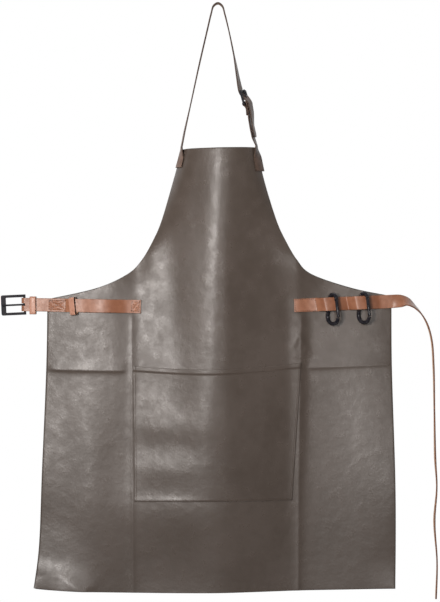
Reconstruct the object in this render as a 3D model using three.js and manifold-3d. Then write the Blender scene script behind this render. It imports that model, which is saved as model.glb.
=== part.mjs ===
// Leather grill apron hanging by its neck strap, as it hangs on a peg. Millimetres, +Z up.
// +X is the viewer's right, +Y points behind the apron, and faces called front look along -Y.
// The origin is the underside of the neck strap at its highest point.
import * as THREE from 'three';
import { mergeVertices } from 'three/addons/utils/BufferGeometryUtils.js';
import Module from 'manifold-3d';

// Driving sizes
const APRON_LEATHER = 2;
const POCKET_LEATHER = 1.8;
const WAIST_LEATHER = 2.6;
const WAIST_WIDTH = 25;
const NECK_LEATHER = 2.4;
const NECK_WIDTH = 20;
const KEEPER_LEATHER = 2.6;
const SEAM_GAP = 0.7;
const GAP = 0.4;

// Panel outline: a row for each level of the left and right edge, the armholes and then the sides
const ARMHOLES = [
  { leftX: -68, leftZ: -271, rightX: 74, rightZ: -268 },
  { leftX: -84, leftZ: -329, rightX: 87, rightZ: -329 },
  { leftX: -105.5, leftZ: -404, rightX: 110, rightZ: -404 },
  { leftX: -121, leftZ: -441, rightX: 126.5, rightZ: -441 },
  { leftX: -142, leftZ: -478, rightX: 148, rightZ: -478 },
  { leftX: -169, leftZ: -505, rightX: 176, rightZ: -505 },
  { leftX: -226, leftZ: -531, rightX: 252, rightZ: -531 },
  { leftX: -319, leftZ: -552, rightX: 326, rightZ: -546 },
];
const SIDES = [
  { leftX: -319, leftZ: -552, rightX: 326, rightZ: -546 },
  { leftX: -321, leftZ: -680, rightX: 326, rightZ: -680 },
  { leftX: -329, leftZ: -880, rightX: 331, rightZ: -880 },
  { leftX: -334, leftZ: -1010, rightX: 332, rightZ: -1010 },
  { leftX: -343, leftZ: -1090, rightX: 331, rightZ: -1092 },
];
const ARMHOLE_ROWS = 17;
const SIDE_ROWS = 14;
const PANEL_COLUMNS = 30;
const EDGE_CROWDING = 0.35;
const BIB_TOP = -270;
const WAIST = -550;
const HEM = -1091;
const HEM_SAG = 9.5;
const HEM_SAG_SKEW = 0.6;

// Long folds of the panel: where each one runs, how far the leather turns there and how round it is.
// A positive turn is a ridge towards the viewer, a negative one a valley.
const RIDGE_DEPTH = -26;
const FOLDS = [
  { name: 'centre ridge', topX: 12, hemX: 6, bibTurn: 0.26, waistTurn: 0.19, hemTurn: 0.13, round: 26 },
  { name: 'left crease', topX: -159, hemX: -157, bibTurn: 0, waistTurn: -0.07, hemTurn: -0.06, round: 18 },
  { name: 'right crease', topX: 160, hemX: 150, bibTurn: 0, waistTurn: -0.13, hemTurn: -0.1, round: 18 },
  { name: 'left side', topX: -235, hemX: -235, bibTurn: 0, waistTurn: 0.06, hemTurn: 0.05, round: 30 },
  { name: 'right side', topX: 290, hemX: 285, bibTurn: 0, waistTurn: 0.05, hemTurn: 0.06, round: 30 },
];

// The bib's side edges roll back, and the hem's corners lift towards the viewer
const BIB_MIDDLE = 3;
const BIB_HALF = 71;
const BIB_FLARE = 0.3;
const BIB_ROLL_TOP = -300;
const BIB_ROLL_END = -480;
const BIB_ROLL_LIMIT = 1.04;
const BIB_ROLLS = {
  left: { depth: 25, power: 8 },
  right: { depth: 17, power: 6 },
};
const HEM_CORNERS = [
  { x: -343, z: -1090, reach: 140, lift: 16 },
  { x: 331, z: -1092, reach: 70, lift: 5 },
];

// Patch pocket on the lap, open at the top
const POCKET = {
  topLeft: { x: -158, z: -677 },
  topRight: { x: 156, z: -671 },
  bottomRight: { x: 139, z: -928 },
  bottomLeft: { x: -155, z: -930 },
  mouthSag: 9,
  belly: 9,
  columns: 16,
  rows: 10,
};

// Waist strap on the left: sewn at both ends of a shallow arch, folded round the buckle's bar
const BUCKLE_BAR_X = -361.5;
const BUCKLE_STRAP = {
  endX: -143.5,
  barZ: -562,
  rise: -0.018,
  straightX: -325,
  foldRadius: 4.75,
  foldStart: THREE.MathUtils.degToRad(126),
  foldEnd: THREE.MathUtils.degToRad(-90),
  foldSteps: 9,
  closeX: -354,
  backEndX: -326,
  step: 4.5,
};
const BUCKLE_STRAP_LIFTS = [
  { x: -294, lift: 0 },
  { x: -282, lift: 4.6 },
  { x: -258, lift: 4.8 },
  { x: -215, lift: 8.5 },
  { x: -168, lift: 0 },
];
const TONGUE_SLOT = { left: -9, right: 9.5, width: 6, depth: 38 };

// Leather keepers round the left strap
const KEEPER = { width: 11.5, slack: 3.2, innerHeight: 28.5, outerCorner: 3.6, innerCorner: 0.4 };
const KEEPERS = [
  { name: 'keeper_outer', x: -345.5, layers: 2 },
  { name: 'keeper_inner', x: -269.5, layers: 1 },
];

// Open waist buckle: a flat frame on a round bar, and a wire tongue
const BUCKLE = {
  reach: 44,
  height: 38,
  farBar: 9,
  sideBar: 5,
  thickness: 4.6,
  barRadius: 2.2,
  outerCorner: 5,
  innerCorner: 2,
  bevel: 0.9,
  cornerSteps: 3,
  droop: THREE.MathUtils.degToRad(4),
};
const TONGUE = { wire: 3.5, length: 43, curl: 4.55, wrap: THREE.MathUtils.degToRad(245), steps: 30 };

// Waist strap on the right: two loops for the hooks, then the free tail that twists and hangs.
// Turn is how far the outer face turns from sideways towards the viewer, in degrees.
const WAIST_STRAP = { startX: 142.5, startZ: -564, rise: 0.0426, edgeX: 328, step: 4 };
const WAIST_STRAP_LIFTS = [
  { x: 186, lift: 0 },
  { x: 215, lift: 16 },
  { x: 244, lift: 0 },
  { x: 273, lift: 16 },
  { x: 302, lift: 0 },
];
const TAIL = [
  { x: 342, z: -554.2, turn: 62 },
  { x: 355, z: -556.5, turn: 34 },
  { x: 369, z: -566, turn: 12 },
  { x: 382, z: -580, turn: 4 },
  { x: 393, z: -600, turn: 2 },
  { x: 401, z: -630, turn: 2 },
  { x: 404.5, z: -680, turn: 2 },
  { x: 406, z: -760, turn: 4 },
  { x: 407.5, z: -850, turn: 1 },
  { x: 410.5, z: -905, turn: 5 },
  { x: 406, z: -968, turn: 1 },
  { x: 411, z: -1045, turn: 5 },
  { x: 409, z: -1114, turn: 3 },
];
const TAIL_ROWS = 46;
const TAIL_TIP = { length: 14, width: 0.45 };
const TAIL_HOLES = { count: 5, spacing: 25, fromTip: 60, radius: 2.4 };
const CORNER_STEPS = 2;
const BAR_SIDES = 12;
const WIRE_SIDES = 8;

// Snap hooks hung on the right strap's loops, their plane turned across the strap
const HOOK = {
  wire: 6,
  topRadius: 8,
  bottomRadius: 13.5,
  length: 61,
  turn: THREE.MathUtils.degToRad(45),
  seat: 2.8,
  setBack: 1.6,
  noseAngle: THREE.MathUtils.degToRad(-10),
  hingeStub: 2.4,
  gateWire: 5,
  gateGap: 0.9,
  noseGap: 1.35,
  sides: 10,
  bodySteps: 48,
  gateSteps: 3,
};
const HOOKS = [
  { name: 'hook_left', x: 215 },
  { name: 'hook_right', x: 273 },
];

// Neck strap: sewn on the left bib corner, over the hang point and down through the neck buckle
const NECK_TABS = {
  left: { bottom: -306, top: -268, edgeInset: 0.5 },
  right: { bottom: -313, top: -265, edgeInset: -2 },
};
const TAB_ROWS = 6;
const NECK_COLUMNS = 4;
const WAIST_COLUMNS = 3;
const NECK_ROUTE = [
  { x: -62, y: 8, z: -236, turn: 14 },
  { x: -52, y: 6, z: -192, turn: 5 },
  { x: -34.5, y: 3, z: -112, turn: 0 },
  { x: -21, y: 1, z: -54, turn: 0 },
  { x: -12.5, y: 0, z: -18, turn: 0 },
  { x: -8.2, y: 0, z: -4, turn: 0 },
  { x: 0, y: 0, z: 1.2, turn: 0 },
  { x: 8.2, y: 0, z: -4, turn: 0 },
  { x: 13, y: 0, z: -19, turn: 0 },
  { x: 21.5, y: 0, z: -54, turn: 5 },
  { x: 30.5, y: 0, z: -98, turn: 12 },
];
const NECK_BUCKLE = {
  x: 50,
  z: -175,
  lean: THREE.MathUtils.degToRad(16),
  turn: THREE.MathUtils.degToRad(25),
  length: 28,
  width: 30,
  bar: 4,
  thickness: 3.4,
  barRadius: 1.8,
  corner: 3.5,
  tongueWire: 3,
  tongueSteps: 10,
  tonguePast: 1,
  slotWidth: 5,
};
const SHORT_ROUTE = [
  { x: 60.5, y: 0, z: -224, turn: 14 },
  { x: 66.5, y: 0, z: -250, turn: 22 },
];
const NECK_TAIL = [
  { share: 0.2, clear: 0.8 },
  { share: 0.45, clear: 2.2 },
  { share: 0.7, clear: 2 },
  { share: 1, clear: 1 },
];
const NECK_FOLD_ENDS = [0.5, 0.3];
const NECK_ROWS = { strap: 60, short: 26 };

const wasm = await Module();
wasm.setup();

const leather = new THREE.MeshStandardMaterial({ color: 0x6f6661, roughness: 0.75, metalness: 0 });
const pocketLeather = new THREE.MeshStandardMaterial({ color: 0x746b66, roughness: 0.75, metalness: 0 });
const tanLeather = new THREE.MeshStandardMaterial({ color: 0xa8795f, roughness: 0.6, metalness: 0 });
const neckLeather = new THREE.MeshStandardMaterial({ color: 0x6b5f59, roughness: 0.7, metalness: 0 });
const blackMetal = new THREE.MeshStandardMaterial({ color: 0x26252a, roughness: 0.4, metalness: 0.6 });

const WAIST_SECTION = { width: WAIST_WIDTH, thickness: WAIST_LEATHER, columns: WAIST_COLUMNS };
const UP = new THREE.Vector3(0, 0, 1);
const BEHIND = new THREE.Vector3(0, 1, 0);
const { lerp, clamp, smoothstep, degToRad } = THREE.MathUtils;

// A closed geometry with shared corners
function welded(geometry) {
  geometry.deleteAttribute('normal');
  geometry.deleteAttribute('uv');
  const joined = mergeVertices(geometry, 1e-3);
  joined.computeVertexNormals();
  return joined;
}

function toSolid(geometry) {
  const joined = welded(geometry);
  const vertProperties = new Float32Array(joined.attributes.position.array);
  const triVerts = new Uint32Array(joined.index.array);
  return new wasm.Manifold(new wasm.Mesh({ numProp: 3, vertProperties, triVerts }));
}

function fromSolid(solid) {
  const mesh = solid.getMesh();
  const geometry = new THREE.BufferGeometry();
  geometry.setAttribute('position', new THREE.Float32BufferAttribute(mesh.vertProperties, 3));
  geometry.setIndex(new THREE.Uint32BufferAttribute(mesh.triVerts, 1));
  geometry.computeVertexNormals();
  return geometry;
}

// A closed wall between two skins, given as rows of points on its front and its back.
// Seen from the front, rows follow each other downwards and the points of a row run to the right.
function wall(rows) {
  const across = rows[0].front.length;
  const skin = rows.length * across;
  const points = [...rows.flatMap((row) => row.front), ...rows.flatMap((row) => row.back)];
  const front = (row, column) => row * across + column;
  const back = (row, column) => skin + front(row, column);
  const faces = [];
  const quad = (a, b, c, d) => faces.push(a, b, c, a, c, d);
  for (let row = 0; row < rows.length - 1; row += 1) {
    for (let column = 0; column < across - 1; column += 1) {
      quad(front(row, column), front(row + 1, column), front(row + 1, column + 1), front(row, column + 1));
      quad(back(row, column), back(row, column + 1), back(row + 1, column + 1), back(row + 1, column));
    }
  }
  const bottom = rows.length - 1;
  const right = across - 1;
  for (let row = 0; row < bottom; row += 1) {
    quad(front(row, 0), back(row, 0), back(row + 1, 0), front(row + 1, 0));
    quad(front(row, right), front(row + 1, right), back(row + 1, right), back(row, right));
  }
  for (let column = 0; column < right; column += 1) {
    quad(front(0, column), front(0, column + 1), back(0, column + 1), back(0, column));
    quad(front(bottom, column), back(bottom, column), back(bottom, column + 1), front(bottom, column + 1));
  }
  const geometry = new THREE.BufferGeometry().setFromPoints(points);
  geometry.setIndex(faces);
  geometry.computeVertexNormals();
  return geometry;
}

// A value between the rows of a table, easing in and out at each row
function eased(table, column, x) {
  if (x <= table[0].x) return table[0][column];
  for (let row = 1; row < table.length; row += 1) {
    const from = table[row - 1];
    const to = table[row];
    if (x <= to.x) return lerp(from[column], to[column], smoothstep(x, from.x, to.x));
  }
  return table[table.length - 1][column];
}

// Panel outline, and how deep its front face lies
function edgePoints(table, xColumn, zColumn, count) {
  const curve = new THREE.SplineCurve(table.map((row) => new THREE.Vector2(row[xColumn], row[zColumn])));
  return curve.getPoints(count);
}

function wholeEdge(xColumn, zColumn) {
  const armhole = edgePoints(ARMHOLES, xColumn, zColumn, ARMHOLE_ROWS);
  const side = edgePoints(SIDES, xColumn, zColumn, SIDE_ROWS);
  return [...armhole, ...side.slice(1)];
}

const leftEdge = wholeEdge('leftX', 'leftZ');
const rightEdge = wholeEdge('rightX', 'rightZ');

function edgeX(edge, z) {
  const next = clamp(edge.findIndex((point) => point.y <= z), 1, edge.length - 1);
  const from = edge[next - 1];
  const to = edge[next];
  return lerp(from.x, to.x, (z - from.y) / (to.y - from.y));
}

function foldTurn(fold, z) {
  if (z > WAIST) return lerp(fold.bibTurn, fold.waistTurn, smoothstep(BIB_TOP - z, 0, BIB_TOP - WAIST));
  return lerp(fold.waistTurn, fold.hemTurn, clamp((WAIST - z) / (WAIST - HEM), 0, 1));
}

function bibRoll(x, z) {
  const half = BIB_HALF + BIB_FLARE * Math.max(0, BIB_TOP - z);
  const share = Math.min(Math.abs(x - BIB_MIDDLE) / half, BIB_ROLL_LIMIT);
  const roll = x < BIB_MIDDLE ? BIB_ROLLS.left : BIB_ROLLS.right;
  return roll.depth * share ** roll.power * smoothstep(z, BIB_ROLL_END, BIB_ROLL_TOP);
}

function panelDepth(x, z) {
  let depth = RIDGE_DEPTH + bibRoll(x, z);
  for (const fold of FOLDS) {
    const foldX = lerp(fold.topX, fold.hemX, clamp((BIB_TOP - z) / (BIB_TOP - HEM), 0, 1));
    depth += foldTurn(fold, z) * (Math.hypot(x - foldX, fold.round) - Math.abs(foldX));
  }
  for (const corner of HEM_CORNERS) {
    const near = Math.max(0, 1 - Math.hypot(x - corner.x, z - corner.z) / corner.reach);
    depth -= corner.lift * near * near;
  }
  return depth;
}

// Unit vector out of the panel's front face
function panelNormal(x, z) {
  const reach = 0.5;
  const slopeX = (panelDepth(x + reach, z) - panelDepth(x - reach, z)) / (2 * reach);
  const slopeZ = (panelDepth(x, z + reach) - panelDepth(x, z - reach)) / (2 * reach);
  return new THREE.Vector3(slopeX, -1, slopeZ).normalize();
}

// A point a given distance in front of the panel
function beforePanel(x, z, distance) {
  return new THREE.Vector3(x, panelDepth(x, z), z).addScaledVector(panelNormal(x, z), distance);
}

function panelRow(left, right, down) {
  const places = Array.from({ length: PANEL_COLUMNS + 1 }, (_, column) => {
    const even = column / PANEL_COLUMNS;
    const across = lerp(even, smoothstep(even, 0, 1), EDGE_CROWDING);
    const sag = HEM_SAG * down * Math.sin(Math.PI * across ** HEM_SAG_SKEW);
    return { x: lerp(left.x, right.x, across), z: lerp(left.y, right.y, across) - sag };
  });
  return {
    front: places.map(({ x, z }) => beforePanel(x, z, 0)),
    back: places.map(({ x, z }) => beforePanel(x, z, -APRON_LEATHER)),
  };
}

function apronPanel() {
  const rows = leftEdge.map((left, row) => {
    const down = Math.max(0, row - ARMHOLE_ROWS) / SIDE_ROWS;
    return panelRow(left, rightEdge[row], down);
  });
  return wall(rows);
}

// The pocket lies on the panel along its seams and bows out between them
function pocket() {
  const rows = Array.from({ length: POCKET.rows + 1 }, (_, row) => {
    const down = row / POCKET.rows;
    const front = [];
    const back = [];
    for (let column = 0; column <= POCKET.columns; column += 1) {
      const across = column / POCKET.columns;
      const middle = Math.sin(Math.PI * across);
      const topX = lerp(POCKET.topLeft.x, POCKET.topRight.x, across);
      const bottomX = lerp(POCKET.bottomLeft.x, POCKET.bottomRight.x, across);
      const topZ = lerp(POCKET.topLeft.z, POCKET.topRight.z, across) - POCKET.mouthSag * middle;
      const bottomZ = lerp(POCKET.bottomLeft.z, POCKET.bottomRight.z, across);
      const x = lerp(topX, bottomX, down);
      const z = lerp(topZ, bottomZ, down);
      const clear = SEAM_GAP + POCKET.belly * middle * (1 - down * down);
      front.push(beforePanel(x, z, clear + POCKET_LEATHER));
      back.push(beforePanel(x, z, clear));
    }
    return { front, back };
  });
  return wall(rows);
}

// One row across a strap: its middle, the way it runs, the way its width lies and its size there
function strapRow(middle, along, across, { width, thickness, columns }) {
  const face = new THREE.Vector3().crossVectors(along, across).normalize();
  const side = new THREE.Vector3().crossVectors(face, along).normalize();
  const places = Array.from({ length: columns }, (_, column) => {
    const share = column / (columns - 1) - 0.5;
    return middle.clone().addScaledVector(side, share * width);
  });
  return {
    front: places.map((place) => place.clone().addScaledVector(face, thickness / 2)),
    back: places.map((place) => place.clone().addScaledVector(face, -thickness / 2)),
  };
}

// Rows of a strap that follows a flat path in plan with its width upright, climbing with x.
// Each point takes up the panel's own change of depth with height.
function uprightStrapRows(plan, middleZ, panelX) {
  return plan.map((place, index) => {
    const before = plan[Math.max(0, index - 1)];
    const after = plan[Math.min(plan.length - 1, index + 1)];
    const climb = middleZ(after.x) - middleZ(before.x);
    const along = new THREE.Vector3(after.x - before.x, after.y - before.y, climb);
    const middle = new THREE.Vector3(place.x, place.y, middleZ(place.x));
    const row = strapRow(middle, along.normalize(), UP, WAIST_SECTION);
    const x = panelX(place.x);
    for (const point of [...row.front, ...row.back]) {
      point.y += panelDepth(x, point.z) - panelDepth(x, middle.z);
    }
    return row;
  });
}

// The way a strap's width lies, where its outer face is turned from sideways towards the viewer
function turnedAcross(along, turn) {
  const outOfLoop = new THREE.Vector3(-along.z, 0, along.x);
  const angle = degToRad(turn);
  return BEHIND.clone().multiplyScalar(Math.cos(angle)).addScaledVector(outOfLoop, Math.sin(angle));
}

// A route's rows as knots for a strap's curve
function routeKnots(route) {
  return route.map(({ x, y, z, turn }) => ({ point: new THREE.Vector3(x, y, z), turn }));
}

// A free strap's curve through knots, each a point with a turn or a fixed way across
class StrapLine {
  constructor(knots) {
    this.knots = knots;
    this.curve = new THREE.CatmullRomCurve3(knots.map((knot) => knot.point));
    this.last = knots.length - 1;
  }

  acrossKnot(index) {
    const knot = this.knots[index];
    return knot.across ?? turnedAcross(this.curve.getTangent(index / this.last), knot.turn);
  }

  across(share) {
    const index = Math.min(Math.floor(share * this.last), this.last - 1);
    return this.acrossKnot(index).clone().lerp(this.acrossKnot(index + 1), share * this.last - index);
  }

  // A knot beside this line, at a distance out of the strap's face
  beside(share, distance) {
    const across = this.across(share);
    const face = new THREE.Vector3().crossVectors(this.curve.getTangent(share), across).normalize();
    return { point: this.curve.getPoint(share).addScaledVector(face, distance), across };
  }

  rows(count, sectionAt) {
    return Array.from({ length: count + 1 }, (_, index) => {
      const even = index / count;
      const share = this.curve.getUtoTmapping(even);
      const along = this.curve.getTangent(share);
      return strapRow(this.curve.getPoint(share), along, this.across(share), sectionAt(even));
    });
  }
}

// Middle of a strap's leather where it lies on the panel, lifted by the table
function layDepth(x, z, lifts) {
  return panelDepth(x, z) - SEAM_GAP - eased(lifts, 'lift', x) - WAIST_LEATHER / 2;
}

function steps(from, to, step) {
  const count = Math.ceil(Math.abs(to - from) / step);
  return Array.from({ length: count + 1 }, (_, index) => lerp(from, to, index / count));
}

// Left waist strap, its fold round the bar and its slot for the tongue
const buckleStrapZ = (x) => BUCKLE_STRAP.barZ + BUCKLE_STRAP.rise * (x - BUCKLE_BAR_X);
const buckleStrapX = (x) => Math.max(x, BUCKLE_STRAP.straightX);
const buckleStrapDepth = (x) => layDepth(buckleStrapX(x), buckleStrapZ(x), BUCKLE_STRAP_LIFTS);
const freeDepth = buckleStrapDepth(BUCKLE_BAR_X);
const barDepth = freeDepth + BUCKLE_STRAP.foldRadius;
const backLayerDepth = freeDepth + WAIST_LEATHER + GAP;

function buckleStrap() {
  const plan = [];
  for (const x of steps(BUCKLE_STRAP.backEndX, BUCKLE_STRAP.closeX, BUCKLE_STRAP.step)) {
    plan.push(new THREE.Vector2(x, backLayerDepth));
  }
  for (let step = 0; step <= BUCKLE_STRAP.foldSteps; step += 1) {
    const angle = lerp(BUCKLE_STRAP.foldStart, BUCKLE_STRAP.foldEnd, step / BUCKLE_STRAP.foldSteps);
    const x = BUCKLE_BAR_X - BUCKLE_STRAP.foldRadius * Math.cos(angle);
    plan.push(new THREE.Vector2(x, barDepth + BUCKLE_STRAP.foldRadius * Math.sin(angle)));
  }
  for (const x of steps(BUCKLE_BAR_X + BUCKLE_STRAP.step, BUCKLE_STRAP.endX, BUCKLE_STRAP.step)) {
    plan.push(new THREE.Vector2(x, buckleStrapDepth(x)));
  }
  const whole = toSolid(wall(uprightStrapRows(plan, buckleStrapZ, buckleStrapX)));
  const slotLength = TONGUE_SLOT.right - TONGUE_SLOT.left;
  const slot = new THREE.BoxGeometry(slotLength, TONGUE_SLOT.depth, TONGUE_SLOT.width);
  slot.translate(BUCKLE_BAR_X + (TONGUE_SLOT.left + TONGUE_SLOT.right) / 2, barDepth, BUCKLE_STRAP.barZ);
  return fromSolid(whole.subtract(toSolid(slot)));
}

// A rounded rectangle as a path, centred on its own middle
function roundedRectangle(path, width, height, radius) {
  const x = width / 2 - radius;
  const y = height / 2 - radius;
  path.absarc(x, y, radius, 0, Math.PI / 2);
  path.absarc(-x, y, radius, Math.PI / 2, Math.PI);
  path.absarc(-x, -y, radius, Math.PI, 1.5 * Math.PI);
  path.absarc(x, -y, radius, 1.5 * Math.PI, 2 * Math.PI);
  path.closePath();
  return path;
}

// A plate cut to a flat outline, which lies in its XZ plane with its thickness along Y
function plate(outline, thickness, bevel, curveSegments) {
  const geometry = new THREE.ExtrudeGeometry(outline, {
    depth: thickness - 2 * bevel,
    bevelEnabled: bevel > 0,
    bevelThickness: bevel,
    bevelSize: bevel,
    bevelOffset: -bevel,
    bevelSegments: 2,
    curveSegments,
  });
  geometry.translate(0, 0, bevel - thickness / 2);
  geometry.rotateX(Math.PI / 2);
  return geometry;
}

// A keeper is a closed leather band: slack in front for the strap's tail, close behind, hung on the strap
function keeper(place) {
  const half = KEEPER.width / 2;
  const frontFace = buckleStrapDepth(place.x) - WAIST_LEATHER / 2;
  const backFace = frontFace + place.layers * WAIST_LEATHER + (place.layers - 1) * GAP;
  const innerFront = frontFace - KEEPER.slack;
  const innerDepth = backFace + GAP - innerFront;
  const innerTop = buckleStrapZ(place.x) + WAIST_WIDTH / 2 + GAP;
  const around = 2 * KEEPER_LEATHER;
  const band = new THREE.Shape();
  roundedRectangle(band, innerDepth + around, KEEPER.innerHeight + around, KEEPER.outerCorner);
  band.holes.push(roundedRectangle(new THREE.Path(), innerDepth, KEEPER.innerHeight, KEEPER.innerCorner));
  const geometry = plate(band, KEEPER.width, 0, CORNER_STEPS);
  geometry.rotateZ(Math.PI / 2);
  const slope = (buckleStrapDepth(place.x + half) - buckleStrapDepth(place.x - half)) / KEEPER.width;
  const mesh = new THREE.Mesh(welded(geometry), tanLeather);
  mesh.name = place.name;
  mesh.position.set(place.x, innerFront + innerDepth / 2, innerTop - KEEPER.innerHeight / 2);
  mesh.rotation.z = Math.atan(slope);
  return mesh;
}

// A round bar along Y
function roundBar(radius, length) {
  return new THREE.CylinderGeometry(radius, radius, length, BAR_SIDES);
}

// Waist buckle, in its own group: the bar stands on the group's Z axis and the frame reaches along -X
function buckleFrame() {
  const half = BUCKLE.height / 2;
  const inner = half - BUCKLE.sideBar;
  const right = BUCKLE.barRadius;
  const left = -BUCKLE.reach;
  const window = left + BUCKLE.farBar;
  const outerArc = BUCKLE.outerCorner;
  const innerArc = BUCKLE.innerCorner;
  const outline = new THREE.Shape();
  outline.moveTo(right, half);
  outline.absarc(left + outerArc, half - outerArc, outerArc, Math.PI / 2, Math.PI);
  outline.absarc(left + outerArc, outerArc - half, outerArc, Math.PI, 1.5 * Math.PI);
  outline.lineTo(right, -half);
  outline.lineTo(right, -inner);
  outline.absarc(window + innerArc, innerArc - inner, innerArc, 1.5 * Math.PI, Math.PI, true);
  outline.absarc(window + innerArc, inner - innerArc, innerArc, Math.PI, Math.PI / 2, true);
  outline.lineTo(right, inner);
  outline.closePath();
  const flat = plate(outline, BUCKLE.thickness, BUCKLE.bevel, BUCKLE.cornerSteps);
  const bar = roundBar(BUCKLE.barRadius, BUCKLE.height - BUCKLE.sideBar);
  bar.rotateX(Math.PI / 2);
  return fromSolid(toSolid(flat).add(toSolid(bar)));
}

// A flat path carried from its own plane into place
class PlacedPath extends THREE.Curve {
  constructor(path, place) {
    super();
    this.path = path;
    this.place = place;
  }

  getPoint(share, target = new THREE.Vector3()) {
    return target.copy(this.place(this.path.getPointAt(share)));
  }
}

// A wire of round section bent along a flat path
function wire(path, place, thickness, steps, sides) {
  const corners = Array.from({ length: sides }, (_, corner) => {
    const angle = 2 * Math.PI * corner / sides;
    return new THREE.Vector2(Math.cos(angle), Math.sin(angle)).multiplyScalar(thickness / 2);
  });
  const extrudePath = new PlacedPath(path, place);
  return welded(new THREE.ExtrudeGeometry(new THREE.Shape(corners), { steps, extrudePath }));
}

// The tongue curls most of the way round the bar and reaches over the far bar
function buckleTongue() {
  const path = new THREE.Path();
  path.moveTo(-TONGUE.length, -TONGUE.curl);
  path.lineTo(0, -TONGUE.curl);
  path.absarc(0, 0, TONGUE.curl, -Math.PI / 2, -Math.PI / 2 + TONGUE.wrap);
  const level = (point) => new THREE.Vector3(point.x, point.y, 0);
  return wire(path, level, TONGUE.wire, TONGUE.steps, WIRE_SIDES);
}

function waistBuckle() {
  const group = new THREE.Group();
  group.position.set(BUCKLE_BAR_X, barDepth, BUCKLE_STRAP.barZ);
  group.rotation.y = -BUCKLE.droop;
  const frame = new THREE.Mesh(buckleFrame(), blackMetal);
  frame.name = 'waist_buckle_frame';
  const tongue = new THREE.Mesh(buckleTongue(), blackMetal);
  tongue.name = 'waist_buckle_tongue';
  group.add(frame, tongue);
  return group;
}

// Right waist strap: two loops along the panel, then the tail, twisting as it turns down
const waistStrapZ = (x) => WAIST_STRAP.startZ + WAIST_STRAP.rise * (x - WAIST_STRAP.startX);
const waistStrapDepth = (x) => layDepth(x, waistStrapZ(x), WAIST_STRAP_LIFTS);
const tailDepth = waistStrapDepth(WAIST_STRAP.edgeX);

function tailRows() {
  const start = { x: WAIST_STRAP.edgeX, y: tailDepth, z: waistStrapZ(WAIST_STRAP.edgeX), turn: 90 };
  const line = new StrapLine(routeKnots([start, ...TAIL.map((row) => ({ ...row, y: tailDepth }))]));
  const tipShare = TAIL_TIP.length / line.curve.getLength();
  const sectionAt = (even) => {
    const fromTip = clamp((1 - even) / tipShare, 0, 1);
    return { ...WAIST_SECTION, width: WAIST_WIDTH * lerp(TAIL_TIP.width, 1, Math.sqrt(fromTip)) };
  };
  return line.rows(TAIL_ROWS, sectionAt).slice(1);
}

function waistStrap() {
  const plan = steps(WAIST_STRAP.startX, WAIST_STRAP.edgeX, WAIST_STRAP.step)
    .map((x) => new THREE.Vector2(x, waistStrapDepth(x)));
  let strap = toSolid(wall([...uprightStrapRows(plan, waistStrapZ, (x) => x), ...tailRows()]));
  const tip = TAIL[TAIL.length - 1];
  for (let hole = 0; hole < TAIL_HOLES.count; hole += 1) {
    const punch = roundBar(TAIL_HOLES.radius, WAIST_WIDTH);
    punch.rotateZ(Math.PI / 2);
    punch.translate(tip.x, tailDepth, tip.z + TAIL_HOLES.fromTip + hole * TAIL_HOLES.spacing);
    strap = strap.subtract(toSolid(punch));
  }
  return fromSolid(strap);
}

// Snap hook: flat coordinates run across its plane and up, from the middle of its top bend
const hookDrop = HOOK.length - HOOK.wire - HOOK.topRadius - HOOK.bottomRadius;
const hookFlare = Math.asin((HOOK.bottomRadius - HOOK.topRadius) / hookDrop);

function hookPlane(point) {
  return new THREE.Vector3(point.x * Math.cos(HOOK.turn), -point.x * Math.sin(HOOK.turn), point.y);
}

function hookSide(radius, drop) {
  return new THREE.Vector2(radius * Math.cos(hookFlare), radius * Math.sin(hookFlare) - drop);
}

const gateTop = hookSide(HOOK.topRadius, 0);
const gateWay = hookSide(HOOK.bottomRadius, hookDrop).sub(gateTop).normalize();
const hingeStub = gateTop.clone().addScaledVector(gateWay, HOOK.hingeStub);
const gateHinge = hingeStub.clone().addScaledVector(gateWay, HOOK.gateGap);

function hookBody() {
  const path = new THREE.Path();
  path.absarc(0, -hookDrop, HOOK.bottomRadius, HOOK.noseAngle, -Math.PI - hookFlare, true);
  path.absarc(0, 0, HOOK.topRadius, Math.PI - hookFlare, hookFlare, true);
  path.lineTo(hingeStub.x, hingeStub.y);
  return wire(path, hookPlane, HOOK.wire, HOOK.bodySteps, HOOK.sides);
}

// The gate runs straight from its hinge to just short of the nose
function hookGate() {
  const noseZ = HOOK.bottomRadius * Math.sin(HOOK.noseAngle) - hookDrop;
  const length = (noseZ - gateHinge.y) / gateWay.y - HOOK.noseGap;
  const end = gateHinge.clone().addScaledVector(gateWay, length);
  const path = new THREE.Path([gateHinge, end]);
  return wire(path, hookPlane, HOOK.gateWire, HOOK.gateSteps, HOOK.sides);
}

function hookGroup(place) {
  const group = new THREE.Group();
  const strapTop = waistStrapZ(place.x) + WAIST_WIDTH / 2;
  group.position.set(place.x, waistStrapDepth(place.x) + HOOK.setBack, strapTop - HOOK.seat);
  const body = new THREE.Mesh(hookBody(), blackMetal);
  body.name = place.name;
  const gate = new THREE.Mesh(hookGate(), blackMetal);
  gate.name = `${place.name}_gate`;
  group.add(body, gate);
  return group;
}

// Neck buckle, in its own frame: X out of its face, Y across the strap and Z up along the strap
const neckFrame = new THREE.Object3D();
neckFrame.position.set(NECK_BUCKLE.x, 0, NECK_BUCKLE.z);
neckFrame.rotation.set(0, -NECK_BUCKLE.lean, -NECK_BUCKLE.turn, 'YZX');
neckFrame.updateMatrix();
const neckAcross = new THREE.Vector3(0, 1, 0).transformDirection(neckFrame.matrix);
const neckBarZ = (NECK_BUCKLE.bar - NECK_BUCKLE.length) / 2;
const neckFold = NECK_BUCKLE.barRadius + 2 * GAP + NECK_LEATHER / 2;
const neckLayer = NECK_LEATHER + GAP;

// A strap's knot at a place in the buckle's frame
function atBuckle(x, z) {
  return { point: new THREE.Vector3(x, 0, z).applyMatrix4(neckFrame.matrix), across: neckAcross };
}

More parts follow.
